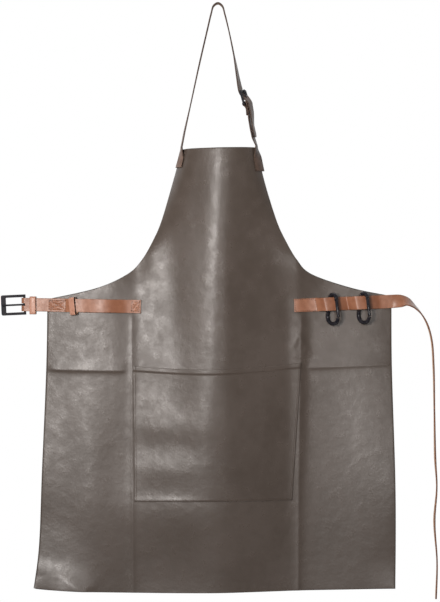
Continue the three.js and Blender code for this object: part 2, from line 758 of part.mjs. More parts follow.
function neckBuckle() {
  const windowWidth = NECK_BUCKLE.width - 2 * NECK_BUCKLE.bar;
  const windowTop = NECK_BUCKLE.length / 2 - NECK_BUCKLE.bar;
  const bottom = -NECK_BUCKLE.length / 2;
  const outline = new THREE.Shape();
  roundedRectangle(outline, NECK_BUCKLE.width, NECK_BUCKLE.length, NECK_BUCKLE.corner);
  const flat = plate(outline, NECK_BUCKLE.thickness, 0, CORNER_STEPS);
  flat.rotateZ(Math.PI / 2);
  const windowHeight = windowTop - bottom + NECK_BUCKLE.bar;
  const window = new THREE.BoxGeometry(2 * NECK_BUCKLE.thickness, windowWidth, windowHeight);
  window.translate(0, 0, windowTop - windowHeight / 2);
  const bar = roundBar(NECK_BUCKLE.barRadius, windowWidth + NECK_BUCKLE.bar);
  bar.translate(0, 0, neckBarZ);
  const rest = (NECK_BUCKLE.thickness + NECK_BUCKLE.tongueWire - GAP) / 2;
  const path = new THREE.Path();
  path.moveTo(0, neckBarZ);
  path.quadraticCurveTo(rest, neckBarZ, rest, neckBarZ + NECK_BUCKLE.bar);
  path.lineTo(rest, NECK_BUCKLE.length / 2 + NECK_BUCKLE.tonguePast);
  const upright = (point) => new THREE.Vector3(point.x, 0, point.y);
  const tongue = wire(path, upright, NECK_BUCKLE.tongueWire, NECK_BUCKLE.tongueSteps, WIRE_SIDES);
  const frame = toSolid(flat).subtract(toSolid(window));
  return fromSolid(frame.add(toSolid(bar)).add(toSolid(tongue)));
}

// A slot through a neck strap for the buckle's tongue, between two heights in the buckle's frame
function neckSlot(bottom, top) {
  const slot = new THREE.BoxGeometry(NECK_BUCKLE.width, NECK_BUCKLE.slotWidth, top - bottom);
  slot.translate(0, 0, (bottom + top) / 2);
  slot.applyMatrix4(neckFrame.matrix);
  return toSolid(slot);
}

// Places across a sewn tab, evenly along the panel's section at one height, from inside to its edge
function tabPlaces(edge, inset, inward, z) {
  const walk = 0.05;
  const places = [];
  let x = edgeX(edge, z) + inward * inset;
  let done = 0;
  for (let column = 0; column < NECK_COLUMNS; column += 1) {
    const goal = (column / (NECK_COLUMNS - 1)) * NECK_WIDTH;
    while (done < goal) {
      done += Math.hypot(walk, panelDepth(x + inward * walk, z) - panelDepth(x, z));
      x += inward * walk;
    }
    places.unshift({ x, z });
  }
  return places;
}

// Rows of a sewn tab, from its lower end upwards
function tabRows(tab, edge, inward) {
  return steps(tab.bottom, tab.top, (tab.top - tab.bottom) / TAB_ROWS).map((z) => {
    const places = tabPlaces(edge, tab.edgeInset, inward, z);
    return {
      front: places.map((place) => beforePanel(place.x, place.z, SEAM_GAP + NECK_LEATHER)),
      back: places.map((place) => beforePanel(place.x, place.z, SEAM_GAP)),
    };
  });
}

const neckSection = () => ({ width: NECK_WIDTH, thickness: NECK_LEATHER, columns: NECK_COLUMNS });

// Short strap's outer run, from the bar down to the bib, which both other layers follow
const leavesBar = [atBuckle(neckFold, neckBarZ), atBuckle(neckFold - 1, neckBarZ - 9)];
const shortRun = [...leavesBar, ...routeKnots(SHORT_ROUTE)];
const shortLine = new StrapLine(shortRun);

function neckBuckleStrap() {
  const foldBack = NECK_FOLD_ENDS.map((share) => shortLine.beside(share, -neckLayer));
  const round = [-1, -0.5, 0, 0.5].map((quarter) => {
    const angle = quarter * Math.PI / 2;
    return atBuckle(neckFold * Math.sin(angle), neckBarZ + neckFold * Math.cos(angle));
  });
  const line = new StrapLine([...foldBack, ...round, ...shortRun]);
  const tab = tabRows(NECK_TABS.right, rightEdge, -1).reverse();
  const strap = toSolid(wall([...line.rows(NECK_ROWS.short, neckSection), ...tab]));
  return fromSolid(strap.subtract(neckSlot(neckBarZ - NECK_BUCKLE.bar, neckBarZ + 2 * NECK_BUCKLE.bar)));
}

// Long strap: over the hang point, behind the buckle's far bar, over its near bar and down to the tail
function neckStrap() {
  const farZ = -neckBarZ;
  const behindBar = -(NECK_BUCKLE.thickness + NECK_LEATHER) / 2 - 2 * GAP;
  const overFold = neckFold + neckLayer + 2 * GAP;
  const through = [
    atBuckle(behindBar, farZ + 2 * NECK_BUCKLE.bar),
    atBuckle(behindBar, farZ - NECK_BUCKLE.bar / 2),
    atBuckle((behindBar + overFold) / 2, 0),
    atBuckle(overFold, neckBarZ),
  ];
  const tail = NECK_TAIL.map(({ share, clear }) => shortLine.beside(share, neckLayer + clear));
  const line = new StrapLine([...routeKnots(NECK_ROUTE), ...through, ...tail]);
  const tab = tabRows(NECK_TABS.left, leftEdge, 1);
  const strap = toSolid(wall([...tab, ...line.rows(NECK_ROWS.strap, neckSection)]));
  return fromSolid(strap.subtract(neckSlot(neckBarZ, NECK_BUCKLE.bar)));
}

function named(name, geometry, material) {
  const mesh = new THREE.Mesh(geometry, material);
  mesh.name = name;
  return mesh;
}

const apron = new THREE.Group();
apron.add(named('apron_panel', apronPanel(), leather));
apron.add(named('pocket', pocket(), pocketLeather));
apron.add(named('neck_strap', neckStrap(), neckLeather));
apron.add(named('neck_buckle_strap', neckBuckleStrap(), neckLeather));
const buckleOnNeck = named('neck_buckle', neckBuckle(), blackMetal);
buckleOnNeck.position.copy(neckFrame.position);
buckleOnNeck.rotation.copy(neckFrame.rotation);
apron.add(buckleOnNeck);
apron.add(named('waist_buckle_strap', buckleStrap(), tanLeather));
apron.add(...KEEPERS.map(keeper));
apron.add(waistBuckle());
apron.add(named('waist_strap', waistStrap(), tanLeather));
apron.add(...HOOKS.map(hookGroup));

export default apron;
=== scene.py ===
import bisect
import math

import bmesh
import bpy
from mathutils import Matrix, Vector


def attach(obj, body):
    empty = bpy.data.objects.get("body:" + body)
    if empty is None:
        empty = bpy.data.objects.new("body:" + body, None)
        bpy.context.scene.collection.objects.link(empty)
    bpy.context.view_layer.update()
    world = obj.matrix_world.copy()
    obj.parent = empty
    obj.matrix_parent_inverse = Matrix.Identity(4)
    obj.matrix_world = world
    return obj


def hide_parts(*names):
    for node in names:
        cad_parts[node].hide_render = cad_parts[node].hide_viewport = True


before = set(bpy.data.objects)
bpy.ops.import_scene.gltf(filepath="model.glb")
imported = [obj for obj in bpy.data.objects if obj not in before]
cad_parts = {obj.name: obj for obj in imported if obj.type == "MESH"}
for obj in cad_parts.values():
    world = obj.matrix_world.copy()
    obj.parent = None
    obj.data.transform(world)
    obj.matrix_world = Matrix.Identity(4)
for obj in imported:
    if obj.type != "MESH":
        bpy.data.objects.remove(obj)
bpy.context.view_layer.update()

# Camera: a long lens four metres in front of the apron, level with its middle,
# so that the panel is seen almost without perspective, as in a catalogue picture.
MM = 0.001
PICTURE = {"x": 4, "z": -555.4, "height": 1125.7}
CAMERA_DISTANCE = 4000
SENSOR = 36


def link(name, data):
    made = bpy.data.objects.new(name, data)
    bpy.context.scene.collection.objects.link(made)
    return made


lens = bpy.data.cameras.new("camera")
lens.sensor_width = SENSOR
lens.lens = SENSOR * CAMERA_DISTANCE / PICTURE["height"]
camera = link("camera", lens)
camera.location = Vector((PICTURE["x"], -CAMERA_DISTANCE, PICTURE["z"])) * MM
camera.rotation_euler = (math.radians(90), 0, 0)
bpy.context.scene.camera = camera

# Studio: a white room with a soft box on the left, a weak one above, two tall strips in front that draw
# the sheen on the leather, and a plain pale floor below the hanging apron.
FLOOR = {"height": -1900, "radius": 800, "sides": 96, "colour": (0.85, 0.85, 0.85, 1), "matt": 0.8}
# The room brightens from low to high as a way out of it climbs, and its backdrop as the way turns to the back
WALLS = {"low": 0.035, "high": 0.21, "from": -0.4, "to": 0.35}
BACKDROP = {"low": 0, "high": 0.8, "from": -0.45, "to": 0.3}
LIGHT_AIM = Vector((0, 0, -330)) * MM
LIGHT_COLOUR = (1, 0.955, 0.92)
WIDE_BEAM = math.radians(180)
LIGHTS = [
    {"name": "left_box", "place": (-1000, -2800, -260), "size": (0.4, 0.4), "power": 16,
     "beam": math.radians(64), "sheen": False},
    {"name": "top_box", "place": (-700, -1500, 1100), "size": (1.2, 0.8), "power": 13,
     "beam": WIDE_BEAM, "sheen": False},
    {"name": "sheen_strip", "place": (-1450, -6500, 0), "size": (0.45, 1.4), "power": 152,
     "beam": WIDE_BEAM, "sheen": True},
    {"name": "fill_strip", "place": (900, -6500, -100), "size": (0.45, 1.4), "power": 28,
     "beam": WIDE_BEAM, "sheen": True},
]


class Paint:
    """A value in a node tree. Sums and products of values add Math nodes."""

    def __init__(self, tree, socket=None):
        self.tree = tree
        self.socket = socket

    def node(self, kind, settings=None, inputs=None, output=0):
        """Adds a node: first its settings, then what its sockets take, which is values or links."""
        made = self.tree.nodes.new(kind)
        for name, value in (settings or {}).items():
            setattr(made, name, value)
        for name, value in (inputs or {}).items():
            if isinstance(value, Paint):
                self.tree.links.new(value.socket, made.inputs[name])
            else:
                made.inputs[name].default_value = value
        return Paint(self.tree, made.outputs[output])

    def math(self, operation, first, second):
        return self.node("ShaderNodeMath", {"operation": operation}, {0: first, 1: second})

    def __add__(self, other):
        return self.math("ADD", self, other)

    def __radd__(self, other):
        return self.math("ADD", other, self)

    def __sub__(self, other):
        return self.math("SUBTRACT", self, other)

    def __rsub__(self, other):
        return self.math("SUBTRACT", other, self)

    def __mul__(self, other):
        return self.math("MULTIPLY", self, other)

    def __rmul__(self, other):
        return self.math("MULTIPLY", other, self)


def feed(shader, socket, value):
    value.tree.links.new(value.socket, shader.inputs[socket])


def stretched(value, span):
    """A value of which from and to become low and high."""
    inputs = {"Value": value, "From Min": span["from"], "From Max": span["to"]}
    return value.node("ShaderNodeMapRange", None, inputs | {"To Min": span["low"], "To Max": span["high"]})


room = bpy.data.worlds.new("white_room")
room.use_nodes = True
background = room.node_tree.nodes["Background"]
background.inputs["Color"].default_value = (1, 1, 1, 1)
way = Paint(room.node_tree).node("ShaderNodeTexCoord", output="Generated")
climb = way.node("ShaderNodeSeparateXYZ", None, {0: way}, output="Z")
behind = way.node("ShaderNodeSeparateXYZ", None, {0: way}, output="Y")
glow = stretched(climb, WALLS) + stretched(behind, BACKDROP)
seen = way.node("ShaderNodeLightPath", output="Is Camera Ray")
feed(background, "Strength", way.node("ShaderNodeMapRange", None, {"Value": seen, "To Min": glow}))
bpy.context.scene.world = room
bpy.context.scene.view_settings.view_transform = "Standard"

for row in LIGHTS:
    light = bpy.data.lights.new(row["name"], "AREA")
    light.shape = "RECTANGLE"
    light.size, light.size_y = row["size"]
    light.spread = row["beam"]
    light.energy = row["power"]
    light.color = LIGHT_COLOUR
    lamp = link(row["name"], light)
    lamp.location = Vector(row["place"]) * MM
    lamp.rotation_euler = (LIGHT_AIM - lamp.location).to_track_quat("-Z", "Y").to_euler()
    lamp.visible_camera = False
    lamp.visible_glossy = row["sheen"]


def mesh_object(name, mesh_in_work, materials):
    data = bpy.data.meshes.new(name)
    mesh_in_work.to_mesh(data)
    mesh_in_work.free()
    for material in materials:
        data.materials.append(material)
    return link(name, data)


floor_material = bpy.data.materials.new("floor_paint")
floor_material.use_nodes = True
floor_shader = floor_material.node_tree.nodes["Principled BSDF"]
floor_shader.inputs["Base Color"].default_value = FLOOR["colour"]
floor_shader.inputs["Roughness"].default_value = FLOOR["matt"]
floor = bmesh.new()
bmesh.ops.create_circle(floor, cap_ends=True, segments=FLOOR["sides"], radius=FLOOR["radius"] * MM)
bmesh.ops.translate(floor, verts=floor.verts, vec=(0, 0, FLOOR["height"] * MM))
mesh_object("floor", floor, [floor_material])

# Apron panel: one piece of soft grey-brown cowhide, bib and skirt together, cut raw at its edges.
# It hangs from the neck strap and keeps the folds it was packed in: a rounded ridge down its middle,
# two upright creases, a level crease across the skirt, and a curled corner at the hem.
APRON_LEATHER = 2
APRON_EDGE_ROUND = 0.8
LEATHER_EDGE_STEPS = 2
ARMHOLES = [
    {"left": (-68, -271), "right": (74, -268)},
    {"left": (-84, -329), "right": (87, -329)},
    {"left": (-105.5, -404), "right": (110, -404)},
    {"left": (-121, -441), "right": (126.5, -441)},
    {"left": (-142, -478), "right": (148, -478)},
    {"left": (-169, -505), "right": (176, -505)},
    {"left": (-226, -531), "right": (252, -531)},
    {"left": (-319, -552), "right": (326, -546)},
]
SIDES = [
    {"left": (-319, -552), "right": (326, -546)},
    {"left": (-321, -680), "right": (326, -680)},
    {"left": (-329, -880), "right": (331, -880)},
    {"left": (-334, -1010), "right": (332, -1010)},
    {"left": (-343, -1090), "right": (331, -1092)},
]
PANEL_COLUMNS = 190
ARMHOLE_ROWS = 90
SIDE_ROWS = 150
BIB_TOP = -270
WAIST = -550
HEM = -1091
HEM_SAG = 9.5
HEM_SAG_SKEW = 0.6
RIDGE_DEPTH = -26
FOLDS = [
    {"name": "centre ridge", "top": 12, "hem": 6, "turns": (0.26, 0.19, 0.13), "round": 26},
    {"name": "left crease", "top": -159, "hem": -157, "turns": (0, -0.07, -0.06), "round": 18},
    {"name": "right crease", "top": 160, "hem": 150, "turns": (0, -0.13, -0.1), "round": 18},
    {"name": "left side", "top": -235, "hem": -235, "turns": (0, 0.06, 0.05), "round": 30},
    {"name": "right side", "top": 290, "hem": 285, "turns": (0, 0.05, 0.06), "round": 30},
]
BIB_MIDDLE = 3
BIB_HALF = 71
BIB_FLARE = 0.3
BIB_ROLL_TOP = -300
BIB_ROLL_END = -480
BIB_ROLL_LIMIT = 1.04
BIB_ROLLS = {"left": (25, 8), "right": (17, 6)}
HEM_CORNERS = [
    {"x": -343, "z": -1090, "reach": 140, "lift": 16},
    {"x": 331, "z": -1092, "reach": 70, "lift": 5},
]
# Low relief on the main folds, in millimetres towards the viewer: soft waves, each a mound or a hollow that
# may lean, and fold marks, each a line from which the leather falls away to both sides.
WAVES = [
    {"name": "hollow left of the ridge", "x": -92, "z": -530, "wide": 26, "tall": 125, "rise": -4.5,
     "lean": -0.05},
    {"name": "hollow right of the left crease", "x": -150, "z": -555, "wide": 24, "tall": 55, "rise": -2.6},
    {"name": "ridge's crest", "x": -2, "z": -480, "wide": 25, "tall": 160, "rise": 3.3, "lean": 0.005},
    {"name": "left armhole's edge", "x": -152, "z": -482, "wide": 18, "tall": 28, "rise": -4},
    {"name": "swell before the left crease", "x": -184, "z": -620, "wide": 22, "tall": 110, "rise": 1.1},
    {"name": "swell before the right crease", "x": 151, "z": -630, "wide": 11, "tall": 190, "rise": 2.4},
    {"name": "right armhole's edge", "x": 150, "z": -490, "wide": 26, "tall": 42, "rise": 7, "lean": -0.3},
    {"name": "right edge's curl", "x": 342, "z": -925, "wide": 26, "tall": 80, "rise": 4.6},
    {"name": "right panel's swell", "x": 347, "z": -840, "wide": 62, "tall": 150, "rise": 11, "lean": -0.08},
    {"name": "hollow behind the right hook", "x": 263, "z": -583, "wide": 18, "tall": 18, "rise": -0.8},
    {"name": "left edge's curl", "x": -342, "z": -875, "wide": 40, "tall": 75, "rise": 3},
    {"name": "left panel's fold", "x": -240, "z": -860, "wide": 24, "tall": 80, "rise": 1.5},
    {"name": "hollow above the left corner", "x": -335, "z": -1050, "wide": 40, "tall": 25, "rise": -3.4},
    {"name": "left corner's swell", "x": -262, "z": -1104, "wide": 24, "tall": 22, "rise": 4.5},
    {"name": "below the pocket", "x": -75, "z": -937, "wide": 105, "tall": 40, "rise": 2.6},
    {"name": "lower skirt", "x": -60, "z": -1095, "wide": 130, "tall": 60, "rise": -4},
]
MARKS = [
    {"name": "left level mark", "path": [(-322, -683), (-240, -685), (-166, -686)],
     "rise": 1.1, "above": 14, "below": 3.2},
    {"name": "right level mark", "path": [(162, -681), (240, -678), (328, -674)],
     "rise": 0.8, "above": 10, "below": 3.2},
    {"name": "left upright mark", "path": [(-160, -575), (-160, -750), (-158, -1120)],
     "rise": 1.0, "above": 6, "below": 6},
    {"name": "right upright mark", "path": [(157, -575), (154, -720), (151, -900), (150, -1120)],
     "rise": 1.4, "above": 7, "below": 7},
    {"name": "pucker", "path": [(154, -668), (140, -642), (152, -620), (166, -645), (154, -668)],
     "rise": 0.9, "above": 4, "below": 4},
    {"name": "short crease", "path": [(165, -662), (178, -646)], "rise": 0.9, "above": 4, "below": 4},
    {"name": "curled corner",
     "path": [(-365, -1066), (-310, -1068), (-290, -1072), (-255, -1098), (-240, -1112)],
     "rise": 1.1, "above": 30, "below": 7, "round": 4},
]
MARK_END = 18
MARK_ROUND = 1.2
# Columns and rows crowd together where the sharp marks run: each place and its width in shares of the panel,
# and how much closer the lines lie there
CROWDS = {
    "columns": [(0.257, 0.022, 1.6), (0.737, 0.02, 1.6)],
    "rows": [(0.531, 0.014, 2.5)],
}
CROWD_HALVINGS = 24
# How much of a hide's colour comes from its broad clouds, and how dull and uneven its cut edge is
BROAD_CLOUDS = 0.55
CUT_EDGE = {"matt": 0.5, "uneven": 0.3}


def lerp(start, end, share):
    return start + (end - start) * share


def clamp(value, low, high):
    return max(low, min(high, value))


def smooth_step(value, low, high):
    share = clamp((value - low) / (high - low), 0, 1)
    return share * share * (3 - 2 * share)


def cubic(start, end, leave, arrive, t):
    """A point of the curve that leaves its start and arrives at its end in two given ways."""
    bend = 2 * start - 2 * end + leave + arrive
    ease = -3 * start + 3 * end - 2 * leave - arrive
    return bend * t ** 3 + ease * t ** 2 + leave * t + start


def spline_point(points, share):
    """A point of a smooth curve through points, at a share of the way through its knots."""
    last = len(points) - 1
    index = min(int(share * last), last - 1)
    before = Vector(points[max(0, index - 1)])
    start = Vector(points[index])
    end = Vector(points[index + 1])
    after = Vector(points[min(last, index + 2)])
    return cubic(start, end, (end - before) / 2, (after - start) / 2, share * last - index)


def fold_turn(fold, z):
    bib, waist, hem = fold["turns"]
    if z > WAIST:
        return lerp(bib, waist, smooth_step(BIB_TOP - z, 0, BIB_TOP - WAIST))
    return lerp(waist, hem, clamp((WAIST - z) / (WAIST - HEM), 0, 1))


def bib_roll(x, z):
    half = BIB_HALF + BIB_FLARE * max(0, BIB_TOP - z)
    share = min(abs(x - BIB_MIDDLE) / half, BIB_ROLL_LIMIT)
    depth, power = BIB_ROLLS["left" if x < BIB_MIDDLE else "right"]
    return depth * share ** power * smooth_step(z, BIB_ROLL_END, BIB_ROLL_TOP)


def panel_depth(x, z):
    """How far back the panel's front face lies, with its main folds alone."""
    depth = RIDGE_DEPTH + bib_roll(x, z)
    down = clamp((BIB_TOP - z) / (BIB_TOP - HEM), 0, 1)
    for fold in FOLDS:
        fold_x = lerp(fold["top"], fold["hem"], down)
        depth += fold_turn(fold, z) * (math.hypot(x - fold_x, fold["round"]) - abs(fold_x))
    for corner in HEM_CORNERS:
        near = max(0, 1 - math.hypot(x - corner["x"], z - corner["z"]) / corner["reach"])
        depth -= corner["lift"] * near * near
    return depth


def panel_place(across, down):
    """Where a point of the flat cut lies on the panel, in shares of its width and of its rows."""
    row = down * (ARMHOLE_ROWS + SIDE_ROWS)
    table, share = ARMHOLES, row / ARMHOLE_ROWS
    side_share = 0
    if row > ARMHOLE_ROWS:
        side_share = (row - ARMHOLE_ROWS) / SIDE_ROWS
        table, share = SIDES, side_share
    left = spline_point([place["left"] for place in table], min(share, 1))
    right = spline_point([place["right"] for place in table], min(share, 1))
    sag = HEM_SAG * side_share * math.sin(math.pi * across ** HEM_SAG_SKEW)
    x, z = left.lerp(right, across)
    return x, z - sag


def halved(is_past, rounds):
    """The last share before a test comes true, found by halving."""
    low, high = 0.0, 1.0
    for _ in range(rounds):
        middle = (low + high) / 2
        if is_past(middle):
            high = middle
        else:
            low = middle
    return low


def crowded(share, crowds):
    """Where a grid line goes that would lie at a share, so that lines crowd round some places."""
    whole = 1 + sum(extra * math.sqrt(math.pi) * wide for _, wide, extra in crowds)

    def is_past(place):
        passed = place
        for middle, wide, extra in crowds:
            passed += extra * wide * math.sqrt(math.pi) / 2 * (math.erf((place - middle) / wide) + 1)
        return passed >= share * whole

    return halved(is_past, CROWD_HALVINGS) if share < 1 else 1


def from_path(x, z, path):
    """Distance of a point from a line of straight runs, how far along the nearest point lies from the
    line's ends, and whether the point lies above the line."""
    nearest, along, walked, above = math.inf, 0, 0, True
    for (x0, z0), (x1, z1) in zip(path, path[1:]):
        length = math.hypot(x1 - x0, z1 - z0)
        share = clamp(((x - x0) * (x1 - x0) + (z - z0) * (z1 - z0)) / length ** 2, 0, 1)
        distance = math.hypot(x - lerp(x0, x1, share), z - lerp(z0, z1, share))
        if distance < nearest:
            nearest, along, above = distance, walked + share * length, z > lerp(z0, z1, share)
        walked += length
    return nearest, min(along, walked - along), above


def wave_height(waves, x, z):
    height = 0
    for wave in waves:
        beside = (x - wave["x"] - wave.get("lean", 0) * (z - wave["z"])) / wave["wide"]
        above = (z - wave["z"]) / wave["tall"]
        height += wave["rise"] * math.exp(-beside ** 2 / 2 - above ** 2 / 2)
    return height


def panel_relief(x, z):
    relief = wave_height(WAVES, x, z)
    for mark in MARKS:
        distance, inside, above = from_path(x, z, mark["path"])
        fall = mark["above"] if above else mark["below"]
        fade = smooth_step(inside, 0, MARK_END)
        rounding = mark.get("round", MARK_ROUND)
        relief += mark["rise"] * fade * math.exp((rounding - math.hypot(distance, rounding)) / fall)
    return relief


def panel_front(x, z):
    return Vector((x, panel_depth(x, z) - panel_relief(x, z), z)) * MM


def rounded(shape, geom, offset, segments, affect="EDGES"):
    """Rounds edges or corners of a shape, and gives the faces that this makes."""
    return bmesh.ops.bevel(shape, geom=geom, offset=offset, segments=segments, profile=0.5, affect=affect,
                           material=-1)["faces"]


def smooth(shape):
    for face in shape.faces:
        face.smooth = True


def leather_wall(sheet, thickness, front_share, round_edge, rim_finish=2):
    """Gives a bent sheet its thickness in millimetres, part of it in front of the sheet, and rounds the
    corners of the cut edge. Faces are numbered 0 on the front, 1 on the back and 2 on the cut edge; the
    rounding takes one of these."""
    sheet.normal_update()
    ways = {vert.co.to_tuple(): vert.normal.copy() for vert in sheet.verts}
    front = set(sheet.faces)
    made = bmesh.ops.extrude_face_region(sheet, geom=list(front), use_keep_orig=True)["geom"]
    back = {item for item in made if isinstance(item, bmesh.types.BMFace)}
    back_verts = {vert for face in back for vert in face.verts}
    for vert in sheet.verts:
        share = front_share - 1 if vert in back_verts else front_share
        vert.co += ways[vert.co.to_tuple()] * (thickness * MM) * share
    for face in sheet.faces:
        face.material_index = 0 if face in front else 1 if face in back else 2
    bmesh.ops.recalc_face_normals(sheet, faces=sheet.faces)
    corners = [edge for edge in sheet.edges if len({face.material_index for face in edge.link_faces}) > 1]
    for face in rounded(sheet, corners, round_edge * MM, LEATHER_EDGE_STEPS):
        face.material_index = rim_finish
    smooth(sheet)


def new_finish(name):
    """A new material, its shader, and the place on the object as the first value to work from."""
    material = bpy.data.materials.new(name)
    material.use_nodes = True
    tree = material.node_tree
    place = Paint(tree).node("ShaderNodeTexCoord", output="Object")
    return material, tree.nodes["Principled BSDF"], place


def clouds(place, scale, detail, roughness=0.5):
    inputs = {"Vector": place, "Scale": scale, "Detail": detail, "Roughness": roughness}
    return place.node("ShaderNodeTexNoise", None, inputs)


def between(share, first, second):
    """A colour between two colours."""
    return share.node("ShaderNodeMix", {"data_type": "RGBA"}, {0: share, 6: first, 7: second}, output=2)


def spread(value, low=0.35, high=0.65):
    """Stretches a value from low and high to 0 and 1. Most of a noise lies between the two given here."""
    inputs = {"Value": value, "From Min": low, "From Max": high}
    return value.node("ShaderNodeMapRange", {"interpolation_type": "SMOOTHSTEP"}, inputs)


def grain_finish(name, look):
    """Smooth side of a hide: clouded dye, soft lumps, fine wrinkles and pores, and a gloss that varies."""
    material, shader, place = new_finish(name)
    broad = clouds(place, look["broad"], detail=3)
    mottle = clouds(place, look["mottle"], detail=4, roughness=0.55)
    lumps = clouds(place, look["mottle"], detail=2, roughness=0.45)
    wrinkles = clouds(place, look["wrinkles"], detail=4, roughness=0.65)
    pores = place.node("ShaderNodeTexVoronoi", None, {"Vector": place, "Scale": look["pores"]})
    shade = spread(BROAD_CLOUDS * broad + (1 - BROAD_CLOUDS) * mottle)
    feed(shader, "Base Color", between(shade, look["dark"], look["light"]))
    feed(shader, "Roughness", look["matt"] - look["polish"] * spread(mottle, low=0.3, high=0.7))
    shader.inputs["Specular IOR Level"].default_value = look["gloss"]
    shader.inputs["Coat Weight"].default_value = look["coat"]
    shader.inputs["Coat Roughness"].default_value = look["matt"]
    height = look["lump_height"] * lumps + look["wrinkle_height"] * wrinkles
    height = height + look["pore_depth"] * spread(pores, low=0, high=0.5)
    feed(shader, "Normal", place.node("ShaderNodeBump", None, {"Height": height, "Distance": MM}))
    return material


def flesh_finish(name, dark, light):
    """Inner side of a hide: short brushed fibres without gloss."""
    material, shader, place = new_finish(name)
    fibres = clouds(place, scale=900, detail=4, roughness=0.7)
    patches = clouds(place, scale=14, detail=4, roughness=0.6)
    feed(shader, "Base Color", between(spread(0.5 * fibres + 0.5 * patches), dark, light))
    shader.inputs["Roughness"].default_value = 0.95
    inputs = {"Height": fibres, "Strength": 0.5, "Distance": 0.4 * MM}
    feed(shader, "Normal", place.node("ShaderNodeBump", None, inputs))
    return material


def edge_finish(name, dark, light):
    """Cut edge of a hide, stained and rubbed."""
    material, shader, place = new_finish(name)
    layers = clouds(place, scale=500, detail=3)
    feed(shader, "Base Color", between(spread(layers), dark, light))
    feed(shader, "Roughness", CUT_EDGE["matt"] + CUT_EDGE["uneven"] * layers)
    return material


APRON_GRAIN = {
    "dark": (0.039, 0.03, 0.0245, 1), "light": (0.052, 0.0415, 0.0355, 1),
    "broad": 7, "mottle": 55, "pores": 900, "wrinkles": 260,
    "matt": 0.34, "polish": 0.07, "gloss": 0.5, "coat": 0,
    "lump_height": 0.32, "wrinkle_height": 0.12, "pore_depth": 0.03,
}
apron_grain = grain_finish("apron_grain", APRON_GRAIN)
apron_flesh = flesh_finish("apron_flesh", (0.16, 0.115, 0.085, 1), (0.25, 0.19, 0.145, 1))
apron_edge = edge_finish("apron_edge", (0.014, 0.011, 0.01, 1), (0.035, 0.028, 0.024, 1))

panel_rows = ARMHOLE_ROWS + SIDE_ROWS
columns_at = [crowded(column / PANEL_COLUMNS, CROWDS["columns"]) for column in range(PANEL_COLUMNS + 1)]
rows_at = [crowded(row / panel_rows, CROWDS["rows"]) for row in range(panel_rows + 1)]
apron_sheet = bmesh.new()
bmesh.ops.create_grid(apron_sheet, x_segments=PANEL_COLUMNS, y_segments=panel_rows, size=0.5)
for vert in apron_sheet.verts:
    across = columns_at[round((vert.co.x + 0.5) * PANEL_COLUMNS)]
    down = rows_at[round((0.5 - vert.co.y) * panel_rows)]
    vert.co = panel_front(*panel_place(across, down))
leather_wall(apron_sheet, APRON_LEATHER, front_share=0, round_edge=APRON_EDGE_ROUND)
apron = mesh_object("apron_leather_panel", apron_sheet, [apron_grain, apron_flesh, apron_edge])
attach(apron, "apron")
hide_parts("apron_panel")

# Pocket: a patch of the same hide over the lap, sewn down on three sides and hemmed at its open mouth.
# It bags a little, so that its middle stands off the panel.
POCKET_LEATHER = 1.4
POCKET_GAP = 0.25
POCKET = {
    "top_left": (-158, -677), "top_right": (156, -671),
    "bottom_right": (139, -928), "bottom_left": (-155, -930),
    "mouth_sag": 9, "belly": 4, "columns": 110, "rows": 96, "even_rows": 0.6,
}
POCKET_HEM = {"height": 10, "rise": 0.5, "round": 2.5, "seam": 8.2}
POCKET_WAVES = [
    {"name": "upper roll", "x": -95, "z": -790, "wide": 60, "tall": 20, "rise": 1.35},
    {"name": "lower roll", "x": -100, "z": -868, "wide": 55, "tall": 20, "rise": 1.75},
    {"name": "own crest", "x": -25, "z": -800, "wide": 20, "tall": 90, "rise": 1.2},
    {"name": "hollow under the mouth", "x": -118, "z": -702, "wide": 24, "tall": 26, "rise": -0.9},
    {"name": "bottom seam's rise", "x": -95, "z": -931, "wide": 45, "tall": 6, "rise": 1},
]


def panel_way(x, z):
    """Way out of the panel's front face."""
    reach = 0.5
    slope_x = (panel_depth(x + reach, z) - panel_depth(x - reach, z)) / (2 * reach)
    slope_z = (panel_depth(x, z + reach) - panel_depth(x, z - reach)) / (2 * reach)
    return Vector((slope_x, -1, slope_z)).normalized()


def before_panel(x, z, distance):
    return panel_front(x, z) + panel_way(x, z) * distance * MM


def pocket_spot(across, down):
    """Place of a point of the pocket over the panel, in millimetres."""
    top = Vector(POCKET["top_left"]).lerp(Vector(POCKET["top_right"]), across)
    top.y -= POCKET["mouth_sag"] * math.sin(math.pi * across)
    bottom = Vector(POCKET["bottom_left"]).lerp(Vector(POCKET["bottom_right"]), across)
    return top.lerp(bottom, down), (top - bottom).length * down


def pocket_point(across, down, proud=0):
    spot, from_mouth = pocket_spot(across, down)
    clear = POCKET_GAP + POCKET["belly"] * math.sin(math.pi * across) * (1 - down * down)
    clear += wave_height(POCKET_WAVES, spot.x, spot.y)
    hem_end = POCKET_HEM["height"]
    hem = POCKET_HEM["rise"] * (1 - smooth_step(from_mouth, hem_end - POCKET_HEM["round"], hem_end))
    return before_panel(spot.x, spot.y, clear + POCKET_LEATHER + hem + proud)


pocket_sheet = bmesh.new()
bmesh.ops.create_grid(pocket_sheet, x_segments=POCKET["columns"], y_segments=POCKET["rows"], size=0.5)
for vert in pocket_sheet.verts:
    down = 0.5 - vert.co.y
    vert.co = pocket_point(vert.co.x + 0.5, lerp(down * down, down, POCKET["even_rows"]))
leather_wall(pocket_sheet, POCKET_LEATHER, front_share=0, round_edge=APRON_EDGE_ROUND, rim_finish=0)
pocket_edge = edge_finish("pocket_edge", (0.1, 0.078, 0.066, 1), (0.14, 0.11, 0.095, 1))
pocket = mesh_object("pocket_patch", pocket_sheet, [apron_grain, apron_flesh, pocket_edge])
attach(pocket, "apron")
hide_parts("pocket")

